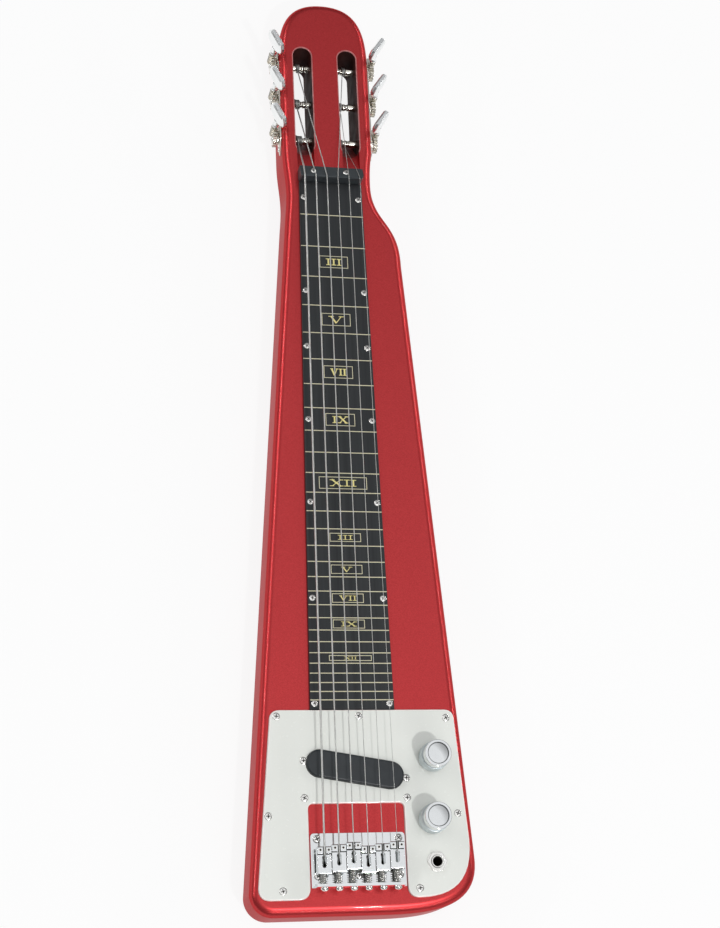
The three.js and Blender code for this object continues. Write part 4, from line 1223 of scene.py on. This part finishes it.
# Tuner plates
# One stamped and nickel-plated strip on each side of the head, pointed at both ends. Three pairs of ears
# stand out from each to carry the worms, and three holes pass the rollers.
tuner_thickness = 1.2 * mm
tuner_half_width = 6.5 * mm
tuner_half_length = 49 * mm
tuner_tail = 13 * mm
tuner_round = 0.3 * mm
ear_thickness = 1.4 * mm
ear_half_width = 3.2 * mm
ear_round = 0.2 * mm
gear_teeth = 14
gear_pitch_radius = 5.698 * mm
worm_pitch_radius = 2.5 * mm
worm_addendum = 0.65 * mm
worm_length = 8.2 * mm
worm_shaft_radius = 1.5 * mm
worm_clearance = 0.45 * mm
face_gap = 0.4 * mm
plate_outer = head_half_width + tuner_thickness
worm_crest = worm_pitch_radius + worm_addendum
worm_offset = gear_pitch_radius + worm_pitch_radius
worm_x = plate_outer + worm_clearance + worm_crest
ear_low = worm_length / 2 + face_gap
middle_y = roller_ys[1]
tuner_screw_head = 2 * mm
tuner_screw_rise = 0.9 * mm
tuner_screw_end = 5.5 * mm
tuner_screw_back = 14.7 * mm
tuner_screw_ys = [middle_y - tuner_half_length + tuner_screw_end]
tuner_screw_ys += [y - tuner_screw_back for y in roller_ys[1:]]

warm_nickel = new_material("warm_nickel", Metallic=1.0)
vary_color(warm_nickel, noise(warm_nickel, 90), (0.66, 0.62, 0.54), (0.8, 0.77, 0.7))
vary_roughness(warm_nickel, noise(warm_nickel, 160), 0.14, 0.26)
emboss(warm_nickel, noise(warm_nickel, 300), 0.008 * mm, 0.25)


def tuner_strip(side):
    half, tail = tuner_half_width, tuner_half_length - tuner_tail
    hollow = tail + tuner_tail * 0.3
    outline = trace(
        (-tail, -half),
        [(tail, -half)],
        [(hollow, -half * 0.6), (tuner_half_length, 0)],
        [(hollow, half * 0.6), (tail, half)],
        [(-tail, half)],
        [(-hollow, half * 0.6), (-tuner_half_length, 0)],
        [(-hollow, -half * 0.6), (-tail, -half)],
        steps=10,
    )
    inner, outer = sorted((side * head_half_width, side * plate_outer))
    rounds = (tuner_round, 0) if side > 0 else (0, tuner_round)
    strip = plate_mesh("strip", outline, inner, outer, *rounds, 2)
    upright = Matrix(((0, 0, 1, 0), (1, 0, 0, middle_y), (0, 1, 0, roller_z), (0, 0, 0, 1)))
    strip.transform(upright)
    root = head_half_width + tuner_thickness / 2 - worm_x
    ear_outline = [Vector((-ear_half_width, root)), Vector((ear_half_width, root))]
    ear_outline += [Vector(point) for point in arc((0, 0), ear_half_width, 0, 180, 16)]
    ears = []
    bores = []
    for y in roller_ys:
        hole = rod_mesh(roller_hole_radius, 0, plate_outer + overrun)
        bores.append(placed(hole, (0, y, roller_z), side * math.pi / 2, "Y"))
        seat = (side * worm_x, y + worm_offset, roller_z)
        for low in (ear_low, -ear_low - ear_thickness):
            ear = plate_mesh("ear", ear_outline, low, low + ear_thickness, ear_round, ear_round, 2)
            ears.append(placed(ear, seat, -side * math.pi / 2))
            bore = rod_mesh(worm_shaft_radius + seat_gap, low - ear_thickness, low + 2 * ear_thickness, 24)
            bores.append(placed(bore, seat))
    return cut_mesh(joined(strip, *ears), bores)


for side, name in ((-1, "left"), (1, "right")):
    fit(
        f"tuner_strip_{name}", tuner_strip(side), warm_nickel,
        "root", [f"tuner_plate_{name}"], 30,
    )
    pattern = screw_mesh(tuner_screw_head, tuner_screw_rise)
    made = [
        placed(pattern.copy(), (side * plate_outer, y, roller_z), side * math.pi / 2, "Y")
        for y in tuner_screw_ys
    ]
    fit(f"tuner_screws_{name}", screw_finish(merged("screws", made)), bright_nickel, "root")

# Rollers
# Each string winds on a turned steel post that runs from a blind hole beside the middle of the head,
# across the slot and out through the tuner plate. A collar outside the plate keeps the post in place.
roller_radius = 3 * mm
roller_waist_share = 0.8
# Each point of a waist: how far it lies from the waist's middle, and its share of the waist's depth.
roller_waist = [(-1.4 * mm, 0), (-0.9 * mm, 0.7), (0, 1), (0.9 * mm, 0.7), (1.4 * mm, 0)]
roller_waist_place_shares = (0.26, 0.5)
collar_radius = 4.2 * mm
collar_round = 0.3 * mm
tip_radius = 1.9 * mm
gear_thickness = 3 * mm
winding_turns = 3
winding_pitch_share = 2.1
winding_sink_share = 0.9
# Where each string meets its roller, from the heaviest on, as a share of the slot's width.
winding_shares = [0.86, 0.86, 0.74, 0.38, 0.14, 0.12]
wrap_pitch = 0.36 * mm
wave_texture_pitch = 3.2

string_steel = new_material("string_steel", Metallic=1.0)
vary_color(string_steel, noise(string_steel, 400), (0.54, 0.54, 0.52), (0.64, 0.64, 0.62))
vary_roughness(string_steel, noise(string_steel, 500), 0.38, 0.48)

wound_wire = new_material("wound_wire", Metallic=1.0)
vary_color(wound_wire, noise(wound_wire, 400), (0.52, 0.52, 0.5), (0.64, 0.64, 0.62))
vary_roughness(wound_wire, noise(wound_wire, 300), 0.38, 0.48)
wraps = new_node(wound_wire.node_tree, "ShaderNodeTexWave", Scale=1 / wrap_pitch / wave_texture_pitch)
wraps.bands_direction = "Y"
wrap_place = new_node(wound_wire.node_tree, "ShaderNodeTexCoord")
wound_wire.node_tree.links.new(wrap_place.outputs["Object"], wraps.inputs["Vector"])
emboss(wound_wire, wraps.outputs["Fac"], 0.05 * mm, 0.35)


def roller_mesh(side):
    waist = roller_radius * roller_waist_share
    collar_start = plate_outer + seat_gap
    collar_end = worm_x - gear_thickness / 2 - seat_gap
    tip_end = worm_x + gear_thickness / 2 + seat_gap
    profile = [(0, roller_inner + seat_gap), (roller_radius, roller_inner + seat_gap)]
    for share in roller_waist_place_shares:
        for across, fall in roller_waist:
            height = slot_inner + slot_width * share + across
            profile.append((roller_radius + (waist - roller_radius) * fall, height))
    profile += [
        (roller_radius, collar_start),
        (collar_radius - collar_round, collar_start),
        (collar_radius, collar_start + collar_round),
        (collar_radius, collar_end - collar_round),
        (collar_radius - collar_round, collar_end),
        (tip_radius, collar_end),
        (tip_radius, tip_end),
        (0, tip_end),
    ]
    return placed(lathe_mesh("roller", profile), turn=side * math.pi / 2, about="Y")


def winding_mesh(index, side):
    radius = string_radius(index)
    way = -1 if winding_shares[index] > 0.5 else 1
    start = slot_inner + slot_width * winding_shares[index] + way * (radius + seat_gap)
    end = start + way * winding_turns * 2 * radius
    coil_radius = roller_radius + radius * winding_sink_share
    coil = helix(coil_radius, start, end, radius * winding_pitch_share, 24)
    coil = [Vector((point.z * side, point.x, point.y)) for point in coil]
    return wire_mesh("winding", coil, radius)


# Each tuner: its string's place from the left, its string's number, its side of the head and its y.
tuners = [(index, 6 - index, -1, roller_ys[index]) for index in range(3)]
tuners += [(index, 6 - index, 1, roller_ys[5 - index]) for index in range(3, 6)]
for index, number, side, y in tuners:
    wire_finish = wound_wire if index < 3 else string_steel
    fit(
        f"string_post_{number}", placed(roller_mesh(side), (0, y, roller_z)), warm_nickel,
        f"tuner_post_{number}", [f"roller_{number}"],
    )
    fit(
        f"string_winding_{number}", placed(winding_mesh(index, side), (0, y, roller_z)), wire_finish,
        f"tuner_post_{number}",
    )

# Gears
# A small toothed wheel is fixed to each post's outer end by a screw. Its fourteen teeth are slanted to
# lie along the worm's thread, so one turn of the button moves the post by one tooth.
gear_addendum = 0.7 * mm
gear_dedendum = 0.9 * mm
gear_tooth_share = 0.39
gear_tip_share = 0.42
gear_root_share = 1.25
gear_edge = 0.12 * mm
wheel_screw_head = 2.9 * mm
wheel_screw_rise = 1.1 * mm
wheel_screw_shank = 0.1 * mm
worm_lead = 2 * math.pi * gear_pitch_radius / gear_teeth
tooth_slant = worm_lead / (2 * math.pi * worm_pitch_radius)


def gear_ring(height):
    outer = gear_pitch_radius + gear_addendum
    root = gear_pitch_radius - gear_dedendum
    pitch = 2 * math.pi / gear_teeth
    root_half = gear_tooth_share * gear_root_share * pitch / 2
    tip_half = gear_tooth_share * gear_tip_share * pitch / 2
    shift = height * tooth_slant / gear_pitch_radius
    ring = []
    flank = [(root, -root_half), (outer, -tip_half), (outer, tip_half), (root, root_half)]
    for tooth in range(gear_teeth):
        centre = (tooth + 0.5) * pitch + shift
        for radius, across in flank:
            angle = centre + across
            ring.append((height, radius * math.cos(angle), radius * math.sin(angle)))
    return ring


for index, number, side, y in tuners:
    half = gear_thickness / 2
    wheel = skin_mesh("wheel", [gear_ring(half * share) for share in (-1, -0.5, 0, 0.5, 1)])
    seat = (side * worm_x, y, roller_z)
    fit(
        f"toothed_wheel_{number}", placed(wheel, seat), warm_nickel,
        f"tuner_post_{number}", [f"gear_{number}"], 30, gear_edge,
    )
    cap = screw_mesh(wheel_screw_head, wheel_screw_rise, wheel_screw_shank)
    cap = placed(cap, (side * (worm_x + half), y, roller_z), side * math.pi / 2, "Y")
    fit(f"wheel_screw_{number}", cap, bright_nickel, f"tuner_post_{number}")

# Worms
# A single-start thread on a steel shaft, which turns in two ears of the plate and drives the wheel. The
# shaft goes on upwards into the button.
worm_dedendum = 0.9 * mm
worm_thread_share = 0.42
worm_flank_share = 0.14
worm_shaft_end = 0.8 * mm
worm_shaft_round = 0.35 * mm
button_stand_off = 2.7 * mm
button_bore_depth = 8.4 * mm
neck_low = ear_low + ear_thickness + button_stand_off
worm_root = worm_pitch_radius - worm_dedendum
crest_share = (worm_thread_share - worm_flank_share) / 2
foot_share = (worm_thread_share + worm_flank_share) / 2


def thread_radius(share):
    away = min(max(abs(share - round(share)), crest_share), foot_share)
    return along_line(away, crest_share, worm_crest, foot_share, worm_root)


def worm_mesh(steps=36):
    half = worm_length / 2
    turns = math.ceil(half / worm_lead) + 1
    flank = (-foot_share, -crest_share, crest_share, foot_share)
    levels = [turn + share for turn in range(-turns, turns + 1) for share in flank]
    made = bmesh.new()
    rings = []
    for step in range(steps + 1):
        angle = 2 * math.pi * step / steps
        phase = step / steps + 0.25
        ring = []
        for level in levels:
            height = min(max((level + phase) * worm_lead, -half), half)
            radius = thread_radius(height / worm_lead - phase)
            ring.append(made.verts.new((radius * math.cos(angle), radius * math.sin(angle), height)))
        rings.append(ring)
    join_rings(made, rings)
    bmesh.ops.holes_fill(made, edges=[edge for edge in made.edges if edge.is_boundary])
    bmesh.ops.recalc_face_normals(made, faces=made.faces)
    shaft_low = -(ear_low + ear_thickness + worm_shaft_end)
    shaft_high = neck_low + button_bore_depth
    shaft = lathe_mesh("shaft", [
        (0, shaft_low),
        (worm_shaft_radius - worm_shaft_round, shaft_low),
        (worm_shaft_radius, shaft_low + worm_shaft_round),
        (worm_shaft_radius, shaft_high),
        (0, shaft_high),
    ], 24)
    return merged("worm", [mesh_from("thread", made), shaft])


for index, number, side, y in tuners:
    seat = (side * worm_x, y + worm_offset, roller_z)
    fit(
        f"worm_shaft_{number}", placed(worm_mesh(), seat), warm_nickel,
        f"tuner_key_{number}", [f"worm_{number}"], 30,
    )

# Buttons
# A cast and chromed key on each worm's shaft, flared above a round neck and thinned to its edges, so
# that two fingers can turn it.
button_width = 21.5 * mm
button_height = 14.5 * mm
button_thickness = 4.8 * mm
# Each step of the bevel: how far in from the outline it lies, and how far in from the face.
button_bevel = [(1.6 * mm, 0), (0.3 * mm, 0.9 * mm), (0, 1.5 * mm)]
button_edge = 0.35 * mm
button_neck_radius = 2.9 * mm
button_neck_length = 9.4 * mm
button_neck_round = 0.3 * mm
button_collar_height = 1.5 * mm
button_waist_height = 2.4 * mm
button_neck_cover = 1.5 * mm
left_button_turn = math.radians(-63)
right_button_turn = math.radians(56)
button_shares = [(0.45, 0), (0.85, 0.18), (1, 0.45), (0.96, 0.72), (0.72, 1)]

button_chrome = new_material("button_chrome", Metallic=1.0)
vary_color(button_chrome, noise(button_chrome, 70), (0.88, 0.9, 0.9), (0.95, 0.96, 0.96))
vary_roughness(button_chrome, noise(button_chrome, 160), 0.24, 0.34)
emboss(button_chrome, noise(button_chrome, 200), 0.004 * mm, 0.2)


def button_mesh():
    right = [Vector((x * button_width / 2, z * button_height)) for x, z in button_shares]
    outline = right + [Vector((-point.x, point.y)) for point in reversed(right)]
    half = button_thickness / 2
    levels = [(inward, deep - half) for inward, deep in button_bevel]
    levels += [(inward, -height) for inward, height in reversed(levels)]
    key = stepped_mesh("key", outline, levels)
    key = placed(key, (0, 0, neck_low + button_neck_length), math.pi / 2, "X")
    neck_top = neck_low + button_bore_depth + button_neck_cover
    neck = lathe_mesh("neck", [
        (0, neck_low),
        (button_neck_radius - button_neck_round, neck_low),
        (button_neck_radius, neck_low + button_neck_round),
        (button_neck_radius, neck_low + button_collar_height),
        (button_neck_radius * 0.8, neck_low + button_waist_height),
        (button_neck_radius * 0.86, neck_low + button_neck_length),
        (button_neck_radius * 0.7, neck_top),
        (0, neck_top),
    ])
    return joined(key, neck)


for index, number, side, y in tuners:
    seat = (side * worm_x, y + worm_offset, roller_z)
    key = placed(button_mesh(), seat, left_button_turn if side < 0 else right_button_turn)
    fit(
        f"key_button_{number}", key, button_chrome,
        f"tuner_key_{number}", [f"button_{number}"], 25, button_edge,
    )

# Nut
# A dark block across the head end of the fingerboard, sloping down towards the tuners. Each string lies
# in a groove of its own width, and two screws between the strings hold the block down.
nut_half_width = 25.9 * mm
nut_length = 10.8 * mm
nut_back_drop = 3.2 * mm
nut_crest = 1.2 * mm
nut_corner = 3 * mm
nut_round = 0.5 * mm
nut_pitch = 9 * mm
nut_screw_half_spacing = 13.4 * mm
nut_screw_shift = -1.7 * mm
nut_screw_lift = 0.1 * mm
nut_screw_head = 2.3 * mm
nut_screw_rise = 0.9 * mm
string_end_drop = 2.3 * mm
string_break_behind = 0.6 * mm
string_bend = 1.2 * mm
string_bend_limit_share = 0.45
roller_wrap_step = math.radians(18)
roller_wrap_steps = 8
nut_top = string_z - seat_gap
nut_xs = [(index - 2.5) * nut_pitch for index in range(6)]


def string_path(index, side, y):
    radius = string_radius(index)
    orbit = roller_radius + radius + seat_gap
    break_y = saddle_front(index) - saddle_boss_length - string_break_behind
    over_nut = Vector((nut_xs[index], nut_crest, string_z))
    reach = side * (slot_inner + slot_width * winding_shares[index])

    def on_roller(angle):
        return Vector((reach, y + orbit * math.cos(angle), roller_z + orbit * math.sin(angle)))

    def leave(point):
        distance = math.hypot(point.y - y, point.z - roller_z)
        return math.atan2(point.z - roller_z, point.y - y) - math.acos(orbit / distance)

    path = [
        Vector((bridge_xs[index], string_hole_y, ferrule_depth - string_end_drop)),
        Vector((bridge_xs[index], string_hole_y, plate_top)),
        Vector((bridge_xs[index], break_y, string_z)),
        over_nut,
    ]
    straight = on_roller(leave(over_nut))
    rest = over_nut.lerp(straight, (nut_length - nut_crest) / (straight.y - nut_crest))
    rest_z = nut_top - nut_back_drop + radius + seat_gap
    if rest.z < rest_z:
        rest.z = rest_z
        path.append(rest)
    touch = leave(path[-1])
    return path + [on_roller(touch - step * roller_wrap_step) for step in range(roller_wrap_steps + 1)]


def eased(path, steps=4):
    points = [path[0]]
    for before, corner, after in zip(path, path[1:], path[2:]):
        arrive, depart = [
            corner + way.normalized() * min(string_bend, way.length * string_bend_limit_share)
            for way in (before - corner, after - corner)
        ]
        for step in range(steps + 1):
            share = step / steps
            points.append(arrive.lerp(corner, share).lerp(corner.lerp(depart, share), share))
    return points + [path[-1]]


def nut_mesh():
    rings = []
    for side in (-1, 1):
        for across, along in rounding(nut_corner, 5)[:: -side]:
            x = side * (nut_half_width - along)
            rings.append([
                (x, y, z) for y, z in [
                    (across, body_thickness),
                    (nut_length, body_thickness),
                    (nut_length, nut_top - nut_back_drop),
                    (max(nut_crest, across + nut_round), nut_top),
                    (across + nut_round * 0.3, nut_top - nut_round * 0.3),
                    (across, nut_top - nut_round),
                ]
            ])
    grooves = [
        wire_mesh("groove", string_path(index, side, y)[2:6], string_radius(index) + seat_gap, 12)
        for index, number, side, y in tuners
    ]
    return cut_mesh(skin_mesh("nut", rings), grooves)


nut_black = new_material("nut_black", Specular_IOR_Level=0.4)
vary_color(nut_black, noise(nut_black, 90), (0.035, 0.042, 0.046), (0.05, 0.058, 0.063))
vary_roughness(nut_black, noise(nut_black, 200), 0.32, 0.5)
emboss(nut_black, noise(nut_black, 700), 0.02 * mm, 0.35)
fit("nut_block", nut_mesh(), nut_black, "root", ["nut"], 30)
nut_screw_top = nut_top - nut_back_drop / 2 + nut_screw_lift
nut_screw_places = [
    (nut_screw_shift + side * nut_screw_half_spacing, nut_length / 2, nut_screw_top) for side in (-1, 1)
]
screws("nut_screws", nut_screw_places, nut_screw_head, nut_screw_rise)

# Strings
# Six steel strings, the three heavy ones wound. Each comes up through the body and the bridge plate,
# bends over its saddle and the nut, and dives into the head to its roller.
for index, number, side, y in tuners:
    finish = wound_wire if index < 3 else string_steel
    wire = wire_mesh("string", eased(string_path(index, side, y)), string_radius(index), 12)
    fit(f"wire_{number}", wire, finish, "root", [f"string_{number}"], 60)

# Ferrules and ball ends
# At the back, each string starts from a small brass ball, which bears in a nickel-plated cup pressed
# into the wood.
ferrule_press = 0.02 * mm
ferrule_lift = 0.05 * mm
ferrule_round = 0.3 * mm
ferrule_mouth_radius = 2.5 * mm
ferrule_string_radius = 1.2 * mm
ferrule_wall = 0.5 * mm
ferrule_floor = ferrule_depth - ferrule_wall
ferrule_top = ferrule_depth - ferrule_lift
ferrule_radius = ferrule_seat_radius - ferrule_press
ball_radius = 2.1 * mm
ball_length = 4 * mm
ball_round = 0.5 * mm
ball_seat_depth = 0.7 * mm
ball_top = ferrule_depth - ball_seat_depth
ball_low = ball_top - ball_length

ball_brass = new_material("ball_brass", Metallic=1.0)
vary_color(ball_brass, noise(ball_brass, 200), (0.55, 0.4, 0.16), (0.68, 0.52, 0.24))
vary_roughness(ball_brass, noise(ball_brass, 300), 0.25, 0.4)

for index, number, side, y in tuners:
    cup = lathe_mesh("cup", [
        (ferrule_mouth_radius, ferrule_lift),
        (ferrule_radius - ferrule_round, ferrule_lift),
        (ferrule_radius, ferrule_lift + ferrule_round),
        (ferrule_radius, ferrule_top),
        (ferrule_string_radius, ferrule_top),
        (ferrule_string_radius, ferrule_floor),
        (ferrule_mouth_radius, ferrule_floor),
        (ferrule_mouth_radius, ferrule_lift),
    ])
    place = (bridge_xs[index], string_hole_y, 0)
    fit(f"ferrule_{number}", placed(cup, place), bright_nickel, "root")
    ball = lathe_mesh("ball", [
        (0, ball_low),
        (ball_radius * 0.7, ball_low),
        (ball_radius, ball_low + ball_round),
        (ball_radius * 0.8, ball_low + ball_length / 2),
        (ball_radius, ball_top - ball_round),
        (ball_radius * 0.7, ball_top),
        (0, ball_top),
    ], 24)
    fit(f"ball_end_{number}", placed(ball, place), ball_brass, "root")

# Controls
# Two potentiometers hang in the hollow by a bushing and a nut on the pickguard. Their shafts carry
# chromed metal knobs with a knurled skirt, a dark groove and a dished top. The skirt's chrome is
# coloured darker than the crown's as painted shade.
knob_base_radius = 10.5 * mm
knob_top_radius = 9.8 * mm
knob_height = 19.5 * mm
knob_lift = 2.5 * mm
knob_low = guard_top + knob_lift
knob_knurl_height = 11 * mm
knob_knurls = 60
knob_knurl_depth = 0.3 * mm
knob_knurl_bevel = 0.4 * mm
knob_groove = 0.7 * mm
knob_groove_width = 1.2 * mm
knob_groove_round = 0.2 * mm
knob_crown_lift = 0.1 * mm
knob_chamfer = 0.4 * mm
knob_rim = 1.9 * mm
knob_dish_wall = 0.7 * mm
knob_dish_depth = 0.8 * mm
knob_bore_depth = 13 * mm
pot_shaft_radius = 3 * mm

# The knurled skirt's chrome is coloured darker than the crown's polished chrome, a painted shade.
knurl_painted_shade_chrome = new_material("knurl_painted_shade_chrome", Metallic=1.0)
vary_color(knurl_painted_shade_chrome, noise(knurl_painted_shade_chrome, 200), (0.5, 0.56, 0.58), (0.66, 0.71, 0.73))
vary_roughness(knurl_painted_shade_chrome, noise(knurl_painted_shade_chrome, 160), 0.3, 0.42)


def knob_mesh():
    knurl_top = knob_low + knob_knurl_height
    top = knob_low + knob_height
    dish_radius = knob_top_radius - knob_rim
    floor_radius = dish_radius - knob_dish_wall
    ring = []
    for corner in range(2 * knob_knurls):
        radius = knob_base_radius - (corner % 2) * knob_knurl_depth
        angle = math.pi * corner / knob_knurls
        ring.append(Vector((radius * math.cos(angle), radius * math.sin(angle))))
    skirt = plate_mesh("skirt", ring, knob_low, knurl_top, knob_knurl_bevel, knob_knurl_bevel, 2)
    crown = lathe_mesh("crown", [
        (0, knob_low + knob_crown_lift),
        (knob_top_radius - knob_groove, knob_low + knob_crown_lift),
        (knob_top_radius - knob_groove, knurl_top + knob_groove_width),
        (knob_top_radius - knob_groove_round, knurl_top + knob_groove_width),
        (knob_top_radius, knurl_top + knob_groove_width + knob_groove_round),
        (knob_top_radius, top - knob_chamfer),
        (knob_top_radius - knob_chamfer * 0.3, top - knob_chamfer * 0.3),
        (knob_top_radius - knob_chamfer, top),
        (dish_radius, top),
        (floor_radius, top - knob_dish_depth),
        (floor_radius * 0.7, top - knob_dish_depth * 0.6),
        (floor_radius * 0.35, top - knob_dish_depth * 0.3),
        (0, top - knob_dish_depth * 0.2),
    ], 64)
    skirt.materials.append(knurl_painted_shade_chrome)
    crown.materials.append(polished_chrome)
    bore = rod_mesh(pot_shaft_radius + seat_gap, knob_low - overrun, knob_low + knob_bore_depth)
    return cut_mesh(joined(skirt, crown), [bore])


for name, place in (("volume", volume_place), ("tone", tone_place)):
    fit(
        f"{name}_cap", placed(knob_mesh(), place), polished_chrome,
        f"{name}_control", [f"knob_{name}"], 30,
    )
    dress(f"pot_{name}", warm_nickel)
    dress(f"pot_shaft_{name}", bright_nickel)

# Output jack
# A quarter-inch socket hangs under the pickguard by its threaded sleeve. A washer and a hexagon nut hold
# it, and the bore inside is lined in black as painted shade.
jack_sleeve_radius = 4.75 * mm
jack_bore_radius = 3.4 * mm
jack_bore_round = 0.3 * mm
jack_sleeve_above = 2.6 * mm
jack_sleeve_round = 0.4 * mm
jack_case_radius = 6.2 * mm
jack_case_depth = 26 * mm
jack_case_floor = 2 * mm
jack_nut_flats = 12.6 * mm
jack_nut_above = 2 * mm
jack_nut_rounds = (0.25 * mm, 0.1 * mm)
jack_nut_edge = 0.12 * mm
jack_thread_gap = 0.05 * mm
washer_radius = 7.2 * mm
washer_thickness = 0.5 * mm
jack_sleeve_top = guard_top + jack_sleeve_above
jack_case_low = body_thickness - jack_case_depth
jack_floor = jack_case_low + jack_case_floor
jack_nut_low = guard_top + washer_thickness

jack_shell = lathe_mesh("shell", [
    (0, jack_case_low),
    (jack_case_radius, jack_case_low),
    (jack_case_radius, body_thickness),
    (jack_sleeve_radius, body_thickness),
    (jack_sleeve_radius, jack_sleeve_top - jack_sleeve_round),
    (jack_sleeve_radius - jack_sleeve_round, jack_sleeve_top),
    (jack_bore_radius + jack_bore_round, jack_sleeve_top),
    (jack_bore_radius, jack_sleeve_top - jack_bore_round),
    (jack_bore_radius, jack_floor),
    (0, jack_floor),
], 48)
# The bore's walls and floor take the black painted shade.
for face in screw_finish(jack_shell).polygons:
    in_bore = jack_floor - jack_case_floor / 2 < face.center.z < jack_sleeve_top - jack_bore_round
    face.material_index = 1 if in_bore and face.center.xy.length < jack_bore_radius else 0
fit("jack_shell", placed(jack_shell, jack_place), bright_nickel, "root", ["jack"])

hexagon = [Vector(point) for point in arc((0, 0), jack_nut_flats / math.sqrt(3), 0, 300, 5)]
rings = [
    plate_mesh("nut", hexagon, jack_nut_low, guard_top + jack_nut_above, *jack_nut_rounds, 3),
    rod_mesh(washer_radius, guard_top, jack_nut_low, 48),
]
bore = (jack_sleeve_radius + jack_thread_gap, guard_top - overrun, guard_top + overrun, 48)
rings = merged("nut", [cut_mesh(ring, [rod_mesh(*bore)]) for ring in rings])
fit(
    "jack_nut_ring", placed(rings, jack_place), bright_nickel,
    "root", ["jack_nut"], 30, jack_nut_edge,
)
